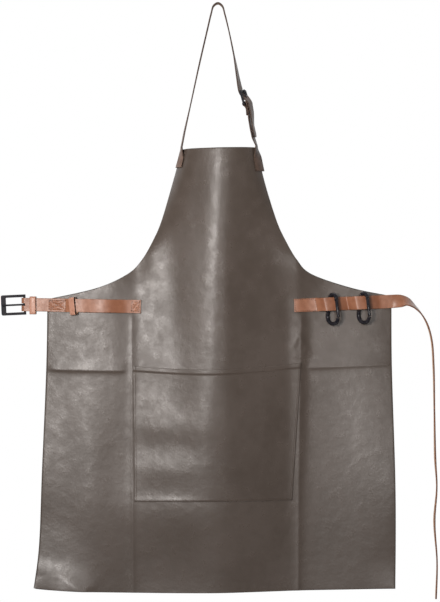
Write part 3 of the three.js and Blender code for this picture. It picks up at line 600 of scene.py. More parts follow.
# Pocket stitching: one row of thick brown thread round the three sewn sides and one along the mouth's hem,
# each stitch half sunk in the leather.
STITCH = {"length": 3.2, "pitch": 4.2, "thick": 1, "sides": 6, "rings": 4, "proud": 0.1}
POCKET_SEAM = {"inset": 4, "width": 300, "height": 255, "first": 0.006, "steps": 120}


def thread_finish(name, dark, light):
    """Waxed thread: twisted strands with a dull shine."""
    material, shader, place = new_finish(name)
    strands = clouds(place, scale=1500, detail=2)
    feed(shader, "Base Color", between(spread(strands), dark, light))
    shader.inputs["Roughness"].default_value = 0.55
    return material


def sew(seam, line, ways):
    """Adds stitches along a line of points, each lying half sunk with its way out of the leather."""
    walked, next_stitch = 0, STITCH["pitch"] * MM / 2
    thick = STITCH["thick"] * MM / 2
    size = Matrix.Diagonal((STITCH["length"] * MM / 2, thick, thick, 1))
    for start, end, way in zip(line, line[1:], ways):
        run = (end - start).length
        while next_stitch <= walked + run:
            middle = start.lerp(end, (next_stitch - walked) / run)
            along = (end - start).normalized()
            across = way.cross(along).normalized()
            turn = Matrix((along, across, way)).transposed().to_4x4()
            bmesh.ops.create_uvsphere(seam, u_segments=STITCH["sides"], v_segments=STITCH["rings"], radius=1,
                                      matrix=Matrix.Translation(middle) @ turn @ size)
            next_stitch += STITCH["pitch"] * MM
        walked += run
    smooth(seam)


apron_thread = thread_finish("apron_thread", (0.03, 0.021, 0.016, 1), (0.06, 0.042, 0.031, 1))
inset = POCKET_SEAM["inset"] / POCKET_SEAM["width"]
lowest = 1 - POCKET_SEAM["inset"] / POCKET_SEAM["height"]
hem_line = POCKET_HEM["seam"] / POCKET_SEAM["height"]
seam_shares = [step / POCKET_SEAM["steps"] for step in range(POCKET_SEAM["steps"] + 1)]
side_downs = [lerp(POCKET_SEAM["first"], lowest, share) for share in seam_shares]
acrosses = [lerp(inset, 1 - inset, share) for share in seam_shares[1:-1]]
round_the_pocket = [(inset, down) for down in side_downs]
round_the_pocket += [(across, lowest) for across in acrosses]
round_the_pocket += [(1 - inset, down) for down in reversed(side_downs)]
along_the_hem = [(across, hem_line) for across in acrosses]
pocket_seam = bmesh.new()
for seam_path in (round_the_pocket, along_the_hem):
    seam_line = [pocket_point(across, down, STITCH["proud"]) for across, down in seam_path]
    seam_ways = [panel_way(*pocket_spot(across, down)[0]) for across, down in seam_path]
    sew(pocket_seam, seam_line, seam_ways)
pocket_stitching = mesh_object("pocket_stitching", pocket_seam, [apron_thread])
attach(pocket_stitching, "apron")

# Left waist strap: a tan belt strap, sewn down by a crossed box at the panel's edge and another at its end,
# standing off the panel between them in a shallow arch. Its free end is folded round the buckle's bar.
SEAM_GAP = 0.7
WAIST_LEATHER = 2.6
WAIST_WIDTH = 25
STRAP_EDGE_ROUND = 0.5
GAP = 0.4
BUCKLE_BAR_X = -361.5
BUCKLE_STRAP = {
    "end": -143.5, "bar_z": -562, "rise": -0.018, "straight": -325, "fold_radius": 4.75,
    "fold_start": math.radians(126), "fold_end": math.radians(-90), "close": -354, "back_end": -326,
}
BUCKLE_STRAP_LIFTS = [(-286, 0), (-271, 4.6), (-258, 4.8), (-215, 8.5), (-168, 0)]
CROSSED_BOXES = [(-315.7, -284.5), (-162.5, -146.5)]
BOX_HALF = 0.36
BOX_SWELL = 2.2
STRAP_STEP = 1.5
STRAP_COLUMNS = 24
SEAM_STEP = 0.1
FOLD_STEPS = 24
TONGUE_SLOT = {"behind": 13, "before": 10, "width": 4.4}


def eased(table, x):
    """A value between a table's rows, easing in and out at each."""
    if x <= table[0][0]:
        return table[0][1]
    for (x0, low), (x1, high) in zip(table, table[1:]):
        if x <= x1:
            return lerp(low, high, smooth_step(x, x0, x1))
    return table[-1][1]


def lay_depth(x, z, lift):
    """Depth of the middle of a strap's leather where it lies lifted off the panel."""
    return panel_depth(x, z) - panel_relief(x, z) - SEAM_GAP - lift - WAIST_LEATHER / 2


def steps(start, end, step):
    count = math.ceil(abs(end - start) / step)
    return [lerp(start, end, index / count) for index in range(count + 1)]


class Ribbon:
    """A strap's middle surface: rows of points from edge to edge, one row after the other along the strap."""

    def __init__(self, rows):
        self.rows = rows
        self.reach = [0]
        for before, after in zip(rows, rows[1:]):
            middle = len(before) // 2
            self.reach.append(self.reach[-1] + (after[middle] - before[middle]).length)
        self.length = self.reach[-1]

    def place(self, along, share):
        index = min(max(bisect.bisect_right(self.reach, along) - 1, 0), len(self.rows) - 2)
        part = (along - self.reach[index]) / (self.reach[index + 1] - self.reach[index])
        column = share * (len(self.rows[0]) - 1)
        left = min(int(column), len(self.rows[0]) - 2)
        ends = []
        for row in (self.rows[index], self.rows[index + 1]):
            ends.append(row[left].lerp(row[left + 1], column - left))
        return ends[0].lerp(ends[1], part)


def level_rows(plan, middle_z, panel_x, slant=None, upright_from=None):
    """Rows of a strap along a path in plan, its width upright, climbing with x and leaning with the panel.
    The rows may run aslant, so that the strap's bends do, and may stand upright again before its end."""
    rows = []
    for index, (x, y) in enumerate(plan):
        x0, y0 = plan[max(0, index - 1)]
        x1, y1 = plan[min(len(plan) - 1, index + 1)]
        along = Vector((x1 - x0, y1 - y0, middle_z(x1) - middle_z(x0))).normalized()
        face = along.cross(Vector((0, 0, 1))).normalized()
        side = face.cross(along).normalized()
        middle = Vector((x, y, middle_z(x)))
        lean = 1 if upright_from is None else 1 - smooth_step(x, upright_from, plan[-1][0])
        row = []
        for share in (-0.5, 0, 0.5):
            point = middle + side * share * WAIST_WIDTH
            point.x -= share * WAIST_WIDTH * (slant(x) if slant else 0)
            point.y += lean * (panel_depth(panel_x(x), point.z) - panel_depth(panel_x(x), middle.z))
            row.append(point)
        rows.append(row)
    return rows


def strap_sheet(ribbon, step, columns, share_at=None, slots=(), boxes=(), holes=()):
    """A ribbon as an open mesh. Slots, swollen stitched boxes and round holes are given along the strap."""
    sheet = bmesh.new()
    rows = math.ceil(ribbon.length / step)
    bmesh.ops.create_grid(sheet, x_segments=columns, y_segments=rows, size=0.5)
    flat = {}
    for vert in sheet.verts:
        along = clamp(0.5 - vert.co.y, 0, 1) * ribbon.length
        share = vert.co.x * (share_at(along) if share_at else 1)
        flat[vert] = (along, share)
        vert.co = ribbon.place(along, share + 0.5) * MM
    sheet.normal_update()
    for start, end in boxes:
        for vert, (along, share) in flat.items():
            lengthwise = abs(2 * (along - start) / (end - start) - 1)
            crosswise = abs(share) / BOX_HALF
            inside = min(abs(lengthwise - crosswise), 1 - max(lengthwise, crosswise))
            vert.co += vert.normal * BOX_SWELL * max(0, inside) * MM
    cut = []
    for face in sheet.faces:
        along = sum(flat[vert][0] for vert in face.verts) / 4
        share = sum(flat[vert][1] for vert in face.verts) / 4
        in_slot = any(start < along < end and abs(share) < half for start, end, half in slots)
        in_hole = any(math.hypot(along - middle, share * WAIST_WIDTH) < radius for middle, radius in holes)
        if in_slot or in_hole:
            cut.append(face)
    bmesh.ops.delete(sheet, geom=cut, context="FACES")
    for vert in sheet.verts:
        along, share = flat[vert]
        for middle, radius in holes:
            away = math.hypot(along - middle, share * WAIST_WIDTH)
            if vert.is_boundary and away < radius + step:
                vert.co = ribbon.place(lerp(middle, along, radius / away), share * radius / away + 0.5) * MM
    return sheet


def along_at(ribbon, x, first=0):
    """How far along a ribbon its first row lies that is past a place across the picture."""
    return next(ribbon.reach[row] for row in range(first, len(ribbon.rows)) if ribbon.rows[row][1].x >= x)


def sew_strap(seam, ribbon, corners):
    """Stitches along straight runs between places on a strap, each along the strap and across it."""
    for (along0, share0), (along1, share1) in zip(corners, corners[1:]):
        line, ways = [], []
        for part in steps(0, 1, SEAM_STEP):
            along, share = lerp(along0, along1, part), lerp(share0, share1, part) + 0.5
            forward = ribbon.place(along + STRAP_STEP, share) - ribbon.place(along - STRAP_STEP, share)
            across = ribbon.place(along, 1) - ribbon.place(along, 0)
            ways.append(forward.cross(across).normalized())
            line.append((ribbon.place(along, share) + ways[-1] * (WAIST_LEATHER / 2 + STITCH["proud"])) * MM)
        sew(seam, line, ways)


def buckle_strap_z(x):
    return BUCKLE_STRAP["bar_z"] + BUCKLE_STRAP["rise"] * (x - BUCKLE_BAR_X)


def buckle_strap_depth(x):
    return lay_depth(max(x, BUCKLE_STRAP["straight"]), buckle_strap_z(x), eased(BUCKLE_STRAP_LIFTS, x))


free_depth = buckle_strap_depth(BUCKLE_BAR_X)
bar_depth = free_depth + BUCKLE_STRAP["fold_radius"]
back_layer_depth = free_depth + WAIST_LEATHER + GAP
back_layer = steps(BUCKLE_STRAP["back_end"], BUCKLE_STRAP["close"], STRAP_STEP)
buckle_plan = [(x, back_layer_depth) for x in back_layer]
for step in range(FOLD_STEPS + 1):
    angle = lerp(BUCKLE_STRAP["fold_start"], BUCKLE_STRAP["fold_end"], step / FOLD_STEPS)
    buckle_plan.append((BUCKLE_BAR_X - BUCKLE_STRAP["fold_radius"] * math.cos(angle),
                        bar_depth + BUCKLE_STRAP["fold_radius"] * math.sin(angle)))
fold_points = len(buckle_plan)
for x in steps(BUCKLE_BAR_X + STRAP_STEP, BUCKLE_STRAP["end"], STRAP_STEP):
    buckle_plan.append((x, buckle_strap_depth(x)))
buckle_ribbon = Ribbon(level_rows(buckle_plan, buckle_strap_z, lambda x: max(x, BUCKLE_STRAP["straight"])))
bar_reach = buckle_ribbon.reach[fold_points - 1 - FOLD_STEPS // 2]
slot_half = TONGUE_SLOT["width"] / WAIST_WIDTH / 2
slot = (bar_reach - TONGUE_SLOT["behind"], bar_reach + TONGUE_SLOT["before"], slot_half)
buckle_boxes = []
for ends in CROSSED_BOXES:
    buckle_boxes.append(tuple(along_at(buckle_ribbon, x, fold_points) for x in ends))
buckle_sheet = strap_sheet(buckle_ribbon, STRAP_STEP, STRAP_COLUMNS, slots=[slot], boxes=buckle_boxes)
leather_wall(buckle_sheet, WAIST_LEATHER, front_share=0.5, round_edge=STRAP_EDGE_ROUND)
TAN_GRAIN = {
    "dark": (0.14, 0.053, 0.026, 1), "light": (0.195, 0.085, 0.048, 1),
    "broad": 25, "mottle": 140, "pores": 1100, "wrinkles": 420,
    "matt": 0.4, "polish": 0.08, "gloss": 0.65, "coat": 0.25,
    "lump_height": 0.1, "wrinkle_height": 0.06, "pore_depth": 0.02,
}
tan_grain = grain_finish("tan_grain", TAN_GRAIN)
tan_flesh = flesh_finish("tan_flesh", (0.3, 0.17, 0.1, 1), (0.42, 0.27, 0.17, 1))
tan_edge = edge_finish("tan_edge", (0.06, 0.025, 0.014, 1), (0.14, 0.06, 0.033, 1))
buckle_strap = mesh_object("waist_strap_left", buckle_sheet, [tan_grain, tan_flesh, tan_edge])
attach(buckle_strap, "apron")
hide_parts("waist_buckle_strap")

# Left strap's stitching: a crossed box of waxed brown thread at the panel's edge and another at the strap's
# end, sewn through strap and panel.
tan_thread = thread_finish("tan_thread", (0.03, 0.012, 0.007, 1), (0.06, 0.025, 0.015, 1))
left_seam = bmesh.new()
for start, end in buckle_boxes:
    lower_left, upper_left = (start, -BOX_HALF), (start, BOX_HALF)
    lower_right, upper_right = (end, -BOX_HALF), (end, BOX_HALF)
    round_and_over = [upper_left, upper_right, lower_right, lower_left, upper_left, lower_right]
    sew_strap(left_seam, buckle_ribbon, round_and_over)
    sew_strap(left_seam, buckle_ribbon, [lower_left, upper_right])
left_stitching = mesh_object("waist_strap_left_stitching", left_seam, [tan_thread])
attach(left_stitching, "apron")

# Keepers: two short bands of tan leather round the left strap, their ends butted together behind it, made
# paler than the strap by a painted sheen.
# The outer one sits by the buckle over both layers of the fold, the inner one on the arch.
KEEPER_LEATHER = 2.6
KEEPER = {
    "width": 11.5, "slack": 3.2, "inner_height": 28.5, "corner": 3.6, "corner_steps": 6,
    "edge": 0.5, "edge_steps": 2, "edge_angle": 60, "end_face": 0.9,
}
KEEPERS = [
    {"name": "keeper_outer", "x": -345.5, "layers": 2, "turn": math.radians(-4), "lean": 0},
    {"name": "keeper_inner", "x": -269.5, "layers": 1, "turn": math.radians(-17), "lean": math.radians(-6)},
]


def plate(width, height):
    """A flat rectangle round the origin."""
    shape = bmesh.new()
    bmesh.ops.create_grid(shape, x_segments=1, y_segments=1, size=0.5)
    bmesh.ops.scale(shape, verts=shape.verts, vec=(width, height, 1))
    return shape


def thicken(shape, thick):
    """Gives a flat shape a thickness, half of it on either side."""
    raised = bmesh.ops.extrude_face_region(shape, geom=shape.faces[:], use_keep_orig=True)["geom"]
    raised_verts = [item for item in raised if isinstance(item, bmesh.types.BMVert)]
    bmesh.ops.translate(shape, verts=raised_verts, vec=(0, 0, thick))
    bmesh.ops.translate(shape, verts=shape.verts, vec=(0, 0, -thick / 2))
    bmesh.ops.recalc_face_normals(shape, faces=shape.faces)


def placed(shape, right, up, out, place):
    """Carries a shape drawn flat, across along X and up along Y, to a place in millimetres."""
    turn = Matrix((right, up, out)).transposed().to_4x4()
    whole = Matrix.Translation(Vector(place) * MM) @ turn @ Matrix.Scale(MM, 4)
    bmesh.ops.transform(shape, matrix=whole, verts=shape.verts)


def sharp_edges(shape, angle):
    """Edges of a shape where its faces meet at more than an angle in degrees."""
    shape.normal_update()
    return [edge for edge in shape.edges if edge.calc_face_angle(0) > math.radians(angle)]


# The keepers' paler colour is a painted sheen: the same tan made lighter where light glances off the bands.
KEEPER_GRAIN_PAINTED_SHEEN = TAN_GRAIN | {"dark": (0.2, 0.09, 0.056, 1), "light": (0.29, 0.15, 0.105, 1)}
keeper_grain_painted_sheen = grain_finish("keeper_grain_painted_sheen", KEEPER_GRAIN_PAINTED_SHEEN)
# The keepers' cut edge is darker than the straps': partly edge stain, partly painted shade on the keepers'
# turned-away side.
keeper_edge_and_painted_shade = edge_finish("keeper_edge_and_painted_shade", (0.028, 0.012, 0.007, 1), (0.06, 0.026, 0.015, 1))
for row in KEEPERS:
    front_face = buckle_strap_depth(row["x"]) - WAIST_LEATHER / 2
    back_face = front_face + row["layers"] * WAIST_LEATHER + (row["layers"] - 1) * GAP
    inner_front = front_face - KEEPER["slack"]
    inner_depth = back_face + GAP - inner_front
    inner_top = buckle_strap_z(row["x"]) + WAIST_WIDTH / 2 + GAP
    band = plate(inner_depth + 2 * KEEPER_LEATHER, KEEPER["inner_height"] + 2 * KEEPER_LEATHER)
    rounded(band, band.verts[:], KEEPER["corner"], KEEPER["corner_steps"], "VERTICES")
    hollow = band.faces[:]
    bmesh.ops.inset_region(band, faces=hollow, thickness=KEEPER_LEATHER, use_even_offset=True,
                           use_boundary=True)
    bmesh.ops.delete(band, geom=hollow, context="FACES")
    thicken(band, KEEPER["width"])
    for face in band.faces:
        outward = face.normal.dot(face.calc_center_median()) > 0
        face.material_index = 2 if abs(face.normal.z) > KEEPER["end_face"] else 0 if outward else 1
    rounded(band, sharp_edges(band, KEEPER["edge_angle"]), KEEPER["edge"], KEEPER["edge_steps"])
    smooth(band)
    half = KEEPER["width"] / 2
    slope = (buckle_strap_depth(row["x"] + half) - buckle_strap_depth(row["x"] - half)) / KEEPER["width"]
    middle = (row["x"], inner_front + inner_depth / 2, inner_top - KEEPER["inner_height"] / 2)
    askew = Matrix.Rotation(row["lean"], 3, "Y") @ Matrix.Rotation(math.atan(slope) + row["turn"], 3, "Z")
    placed(band, askew @ Vector((0, 1, 0)), askew @ Vector((0, 0, 1)), askew @ Vector((1, 0, 0)), middle)
    keeper = mesh_object(row["name"] + "_band", band, [keeper_grain_painted_sheen, tan_flesh, keeper_edge_and_painted_shade])
    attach(keeper, "apron")
    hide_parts(row["name"])

# Waist buckle: a cast frame, open towards the strap, with a round bar across its open end that the strap's
# fold holds. It is black enamelled, slightly clouded.
BUCKLE = {
    "reach": 44, "height": 38, "far_bar": 9, "side_bar": 5, "thick": 4.6, "bar_radius": 2.2,
    "corner": 3.2, "edge": 0.8, "droop": math.radians(2.6), "sides": 24, "matt": 0.45,
}
FRAME_STEPS = {"outer_corner": 6, "inner_corner": 4, "edge": 3}
FRAME_EDGE_ANGLE = 40
INNER_CORNERS_SMALLER = 3
TOUCHING = 1e-6
ENAMEL = {"dark": (0.005, 0.005, 0.007, 1), "light": (0.012, 0.011, 0.014, 1), "gloss": 0.3, "uneven": 0.15}


def enamel_finish(name, matt):
    """Black coated metal: slightly clouded, with a soft shine."""
    material, shader, place = new_finish(name)
    cloud = clouds(place, scale=180, detail=4, roughness=0.6)
    feed(shader, "Base Color", between(spread(cloud), ENAMEL["dark"], ENAMEL["light"]))
    feed(shader, "Roughness", matt + ENAMEL["uneven"] * cloud)
    shader.inputs["Specular IOR Level"].default_value = ENAMEL["gloss"]
    inputs = {"Height": clouds(place, scale=900, detail=2), "Strength": 0.12, "Distance": 0.2 * MM}
    feed(shader, "Normal", place.node("ShaderNodeBump", None, inputs))
    return material


def open_frame(length, height, wall, far_wall, thick, corner, edge):
    """A flat frame open at its right end, X from the far bar's outside to the ends, which lie at X = 0."""
    shape = plate(length, height)
    bmesh.ops.translate(shape, verts=shape.verts, vec=(-length / 2, 0, 0))
    window = shape.faces[:]
    bmesh.ops.inset_region(shape, faces=window, thickness=wall, use_even_offset=True, use_boundary=True)
    for vert in window[0].verts:
        vert.co.x = 0 if vert.co.x > -length / 2 else far_wall - length
    closing = [face for face in shape.faces if all(abs(vert.co.x) < TOUCHING for vert in face.verts)]
    bmesh.ops.delete(shape, geom=window + closing, context="FACES")
    thicken(shape, thick)
    upright = [edge for edge in shape.edges if abs(edge.verts[0].co.z - edge.verts[1].co.z) > thick / 2]
    far = [edge for edge in upright if edge.verts[0].co.x < far_wall / 2 - length]
    near = [edge for edge in upright if far_wall / 2 - length < edge.verts[0].co.x < -wall]
    rounded(shape, far, corner, FRAME_STEPS["outer_corner"])
    near_left = [edge for edge in near if edge.is_valid]
    rounded(shape, near_left, corner / INNER_CORNERS_SMALLER, FRAME_STEPS["inner_corner"])
    rounded(shape, sharp_edges(shape, FRAME_EDGE_ANGLE), edge, FRAME_STEPS["edge"])
    return shape


def add_bar(shape, radius, length, x):
    """Adds a round bar across a frame, along Y."""
    across = Matrix.Translation((x, 0, 0)) @ Matrix.Rotation(math.radians(90), 4, "X")
    bmesh.ops.create_cone(shape, cap_ends=True, segments=BUCKLE["sides"], radius1=radius, radius2=radius,
                          depth=length, matrix=across)


black_enamel = enamel_finish("black_enamel", BUCKLE["matt"])
buckle_turn = Matrix.Rotation(-BUCKLE["droop"], 3, "Y")
buckle_right = buckle_turn @ Vector((1, 0, 0))
buckle_place = (BUCKLE_BAR_X, bar_depth, BUCKLE_STRAP["bar_z"])
buckle_shape = open_frame(BUCKLE["reach"] + BUCKLE["bar_radius"], BUCKLE["height"], BUCKLE["side_bar"],
                          BUCKLE["far_bar"], BUCKLE["thick"], BUCKLE["corner"], BUCKLE["edge"])
bmesh.ops.translate(buckle_shape, verts=buckle_shape.verts, vec=(BUCKLE["bar_radius"], 0, 0))
add_bar(buckle_shape, BUCKLE["bar_radius"], BUCKLE["height"] - BUCKLE["side_bar"], 0)
smooth(buckle_shape)
placed(buckle_shape, buckle_right, buckle_turn @ Vector((0, 0, 1)), Vector((0, -1, 0)), buckle_place)
buckle_frame = mesh_object("waist_buckle_casting", buckle_shape, [black_enamel])
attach(buckle_frame, "waist_buckle")
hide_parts("waist_buckle_frame")

# Buckle tongue: one piece of round wire, curled round the bar in the strap's slot and resting on the far bar.
# It has the frame's black enamel.
TONGUE = {
    "wire": 3.5, "length": 43, "curl": 4.55, "wrap": math.radians(245),
    "steps": 28, "sides": 16, "rounding": 1.2,
}
WIRE_END_STEPS = 4


def wire_start(radius, sides, place, way):
    """The first ring of a round wire, and its edges."""
    shape = bmesh.new()
    turn = Vector(way).to_track_quat("Z", "Y").to_matrix().to_4x4()
    bmesh.ops.create_circle(shape, segments=sides, radius=radius, matrix=Matrix.Translation(place) @ turn)
    return shape, shape.edges[:]


def wire_bend(shape, ring, centre, angle, count):
    """Bends the wire round a centre in its plane, and gives the edges of its new end."""
    made = bmesh.ops.spin(shape, geom=ring, cent=centre, axis=(0, 0, 1), angle=angle, steps=count)
    return [item for item in made["geom_last"] if isinstance(item, bmesh.types.BMEdge)]


def wire_run(shape, ring, move):
    """Runs the wire straight on, and gives the edges of its new end."""
    made = bmesh.ops.extrude_edge_only(shape, edges=ring)["geom"]
    verts = [item for item in made if isinstance(item, bmesh.types.BMVert)]
    bmesh.ops.translate(shape, verts=verts, vec=move)
    ends = set(verts)
    return [edge for edge in shape.edges if edge.verts[0] in ends and edge.verts[1] in ends]


def wire_finish(shape, rounding):
    """Closes the wire's two ends and rounds them."""
    caps = bmesh.ops.holes_fill(shape, edges=shape.edges[:], sides=0)["faces"]
    bmesh.ops.recalc_face_normals(shape, faces=shape.faces)
    rims = list({edge for face in caps for edge in face.edges})
    rounded(shape, rims, rounding, WIRE_END_STEPS)
    smooth(shape)


tongue_top = (0, TONGUE["curl"], 0)
tongue_shape, tongue_ring = wire_start(TONGUE["wire"] / 2, TONGUE["sides"], tongue_top, (1, 0, 0))
wire_bend(tongue_shape, tongue_ring, (0, 0, 0), -TONGUE["wrap"], TONGUE["steps"])
wire_run(tongue_shape, tongue_ring, (-TONGUE["length"], 0, 0))
wire_finish(tongue_shape, TONGUE["rounding"])
placed(tongue_shape, buckle_right, Vector((0, -1, 0)), buckle_turn @ Vector((0, 0, -1)), buckle_place)
tongue = mesh_object("waist_buckle_tongue_wire", tongue_shape, [black_enamel])
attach(tongue, "buckle_tongue")
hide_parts("waist_buckle_tongue")

# Right waist strap: the same belt leather, sewn along the waist with two loops left standing for the hooks.
# Past the panel's edge its long free end twists, turns down and hangs edge-on, punched near its pointed tip.
WAIST_STRAP = {"start": 142.5, "start_z": -564, "rise": 0.0426, "edge": 328}
LOOPS = (0, 58)
LOOP_BENDS = [(186, 1.27, 2), (199, -1.41, 2.5), (217, -0.4, 4), (242.9, 0.54, 3)]
LOOP_SLANT = {"most": 0.2, "from": 155, "full": 185, "ease": 285, "to": 320}
START_BOX = {"right": 184, "inset": 2}
UPRIGHT_FROM = 285
TAIL = [
    (342, -555.4, 68), (355, -556.5, 36), (369, -566, 12), (382, -580, 4), (393, -600, 2), (401, -630, 2),
    (404.5, -680, 2), (406, -760, 4), (407.5, -850, 1), (410.5, -905, 5), (406, -968, 1), (411, -1045, 5),
    (409, -1114, 3),
]
TAIL_TIP = {"length": 14, "width": 0.45}
TAIL_HOLES = {"count": 5, "spacing": 25, "from_tip": 60, "radius": 2.4}
KNOT_STEPS = 12


class StrapLine:
    """A free strap's curve through knots, each a point with a turn in degrees or a fixed way across."""

    small = 1e-4

    def __init__(self, knots):
        self.knots = knots
        self.last = len(knots) - 1

    def point(self, share):
        index = min(int(share * self.last), self.last - 1)
        points = [Vector(knot["point"]) for knot in self.knots]
        start, end = points[index], points[index + 1]
        before = points[index - 1] if index > 0 else 2 * start - end
        after = points[index + 2] if index + 2 <= self.last else 2 * end - start
        runs = ((before, start), (start, end), (end, after))
        gaps = [math.sqrt(max((b - a).length, self.small)) for a, b in runs]
        leave = (start - before) / gaps[0] - (end - before) / (gaps[0] + gaps[1]) + (end - start) / gaps[1]
        arrive = (end - start) / gaps[1] - (after - start) / (gaps[1] + gaps[2]) + (after - end) / gaps[2]
        return cubic(start, end, leave * gaps[1], arrive * gaps[1], share * self.last - index)

    def along(self, share):
        ahead, behind = min(share + self.small, 1), max(share - self.small, 0)
        return (self.point(ahead) - self.point(behind)).normalized()

    def across_knot(self, index):
        knot = self.knots[index]
        if "across" in knot:
            return knot["across"]
        along = self.along(index / self.last)
        angle = math.radians(knot["turn"])
        return Vector((0, 1, 0)) * math.cos(angle) + Vector((-along.z, 0, along.x)) * math.sin(angle)

    def across(self, share):
        index = min(int(share * self.last), self.last - 1)
        return self.across_knot(index).lerp(self.across_knot(index + 1), share * self.last - index)

    def face(self, share):
        return self.along(share).cross(self.across(share)).normalized()

    def beside(self, share, distance):
        """A knot beside this line, at a distance out of the strap's face."""
        return {"point": self.point(share) + self.face(share) * distance, "across": self.across(share)}

    def rows(self, width, shares):
        made = []
        count = self.last * KNOT_STEPS
        for index in range(count + 1):
            side = self.face(index / count).cross(self.along(index / count)).normalized()
            middle = self.point(index / count)
            made.append([middle + side * width * share for share in shares])
        return made


def waist_strap_z(x):
    return WAIST_STRAP["start_z"] + WAIST_STRAP["rise"] * (x - WAIST_STRAP["start"])


def loop_lift(x):
    """Height of the strap's loops over the panel: straight ramps, with a turn and a rounding at each bend."""
    lift = 0
    for loop in LOOPS:
        for place, turn, rounding in LOOP_BENDS:
            lift += turn / 2 * math.hypot(x - place - loop, rounding)
    return max(0, lift)


def loop_slant(x):
    before = smooth_step(x, LOOP_SLANT["from"], LOOP_SLANT["full"])
    return LOOP_SLANT["most"] * before * (1 - smooth_step(x, LOOP_SLANT["ease"], LOOP_SLANT["to"]))


def waist_strap_depth(x):
    return lay_depth(x, waist_strap_z(x), loop_lift(x))


def pointed(ribbon, tip):
    """Gives a strap's width along it, as a share of its full one, where it narrows to a tip at its end."""
    def share_at(along):
        from_tip = clamp((ribbon.length - along) / tip["length"], 0, 1)
        return lerp(tip["width"], 1, math.sqrt(from_tip))
    return share_at


on_panel = steps(WAIST_STRAP["start"], WAIST_STRAP["edge"], STRAP_STEP)
waist_plan = [(x, waist_strap_depth(x)) for x in on_panel]
tail_depth = waist_strap_depth(WAIST_STRAP["edge"])
tail_knots = [{"point": (WAIST_STRAP["edge"], tail_depth, waist_strap_z(WAIST_STRAP["edge"])), "turn": 90}]
tail_knots += [{"point": (x, tail_depth, z), "turn": turn} for x, z, turn in TAIL]
tail_rows = StrapLine(tail_knots).rows(WAIST_WIDTH, (-0.5, 0, 0.5))
waist_rows = level_rows(waist_plan, waist_strap_z, lambda x: x, loop_slant, UPRIGHT_FROM)
waist_ribbon = Ribbon(waist_rows + tail_rows[1:])
tail_holes = []
for hole in range(TAIL_HOLES["count"]):
    from_tip = TAIL_HOLES["from_tip"] + hole * TAIL_HOLES["spacing"]
    tail_holes.append((waist_ribbon.length - from_tip, TAIL_HOLES["radius"]))
waist_sheet = strap_sheet(waist_ribbon, STRAP_STEP, STRAP_COLUMNS, share_at=pointed(waist_ribbon, TAIL_TIP),
                          holes=tail_holes)
leather_wall(waist_sheet, WAIST_LEATHER, front_share=0.5, round_edge=STRAP_EDGE_ROUND)
waist_strap = mesh_object("waist_strap_right", waist_sheet, [tan_grain, tan_flesh, tan_edge])
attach(waist_strap, "apron")
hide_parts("waist_strap")

# Right strap's stitching: a plain box of the left strap's thread round the strap's sewn start, which holds
# it on the panel.
right_seam = bmesh.new()
box_start = START_BOX["inset"]
box_end = along_at(waist_ribbon, START_BOX["right"])
box_half = 0.5 - START_BOX["inset"] / WAIST_WIDTH
round_the_box = [(box_end, box_half), (box_start, box_half), (box_start, -box_half), (box_end, -box_half)]
sew_strap(right_seam, waist_ribbon, round_the_box + round_the_box[:1])
right_stitching = mesh_object("waist_strap_right_stitching", right_seam, [tan_thread])
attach(right_stitching, "apron")

# Snap hooks: each a bent round steel wire, black enamelled, hung on a loop of the right strap, with a
# straight spring gate on a pin under its top bend that closes onto the nose.
HOOK = {
    "wire": 7, "top": 8, "bottom": 13.5, "drop": 33.5, "turn": math.radians(45), "seat": 2.8, "lift": 16.4,
    "nose": math.radians(-10), "stub": 2.4, "gate_wire": 6, "gate_gap": 0.9, "nose_gap": 0.9,
    "sides": 18, "bend_steps": 28, "rounding": 1.6, "matt": 0.14,
    "pin": 1.7, "pin_length": 8.4, "pin_edge": 0.5, "pin_edge_steps": 2,
}
HOOKS = [
    {"side": "left", "x": 215},
    {"side": "right", "x": 273},
]
hook_flare = math.asin((HOOK["bottom"] - HOOK["top"]) / HOOK["drop"])
side_way = Vector((math.cos(hook_flare), math.sin(hook_flare), 0))
bottom_middle = Vector((0, -HOOK["drop"], 0))
gate_top = side_way * HOOK["top"]
gate_way = (bottom_middle + side_way * HOOK["bottom"] - gate_top).normalized()
gate_hinge = gate_top + gate_way * (HOOK["stub"] + HOOK["gate_gap"])
nose_way = Vector((math.cos(HOOK["nose"]), math.sin(HOOK["nose"]), 0))
nose = bottom_middle + nose_way * HOOK["bottom"]
gate_length = (nose.y - gate_hinge.y) / gate_way.y - HOOK["nose_gap"]
hook_right = Vector((math.cos(HOOK["turn"]), -math.sin(HOOK["turn"]), 0))
hook_up = Vector((0, 0, 1))
hook_out = hook_right.cross(hook_up)
left_way = Vector((-side_way.x, side_way.y, 0))
round_bottom = -(math.pi + HOOK["nose"] + hook_flare)
round_top = -(math.pi - 2 * hook_flare)
polished_enamel = enamel_finish("polished_enamel", HOOK["matt"])

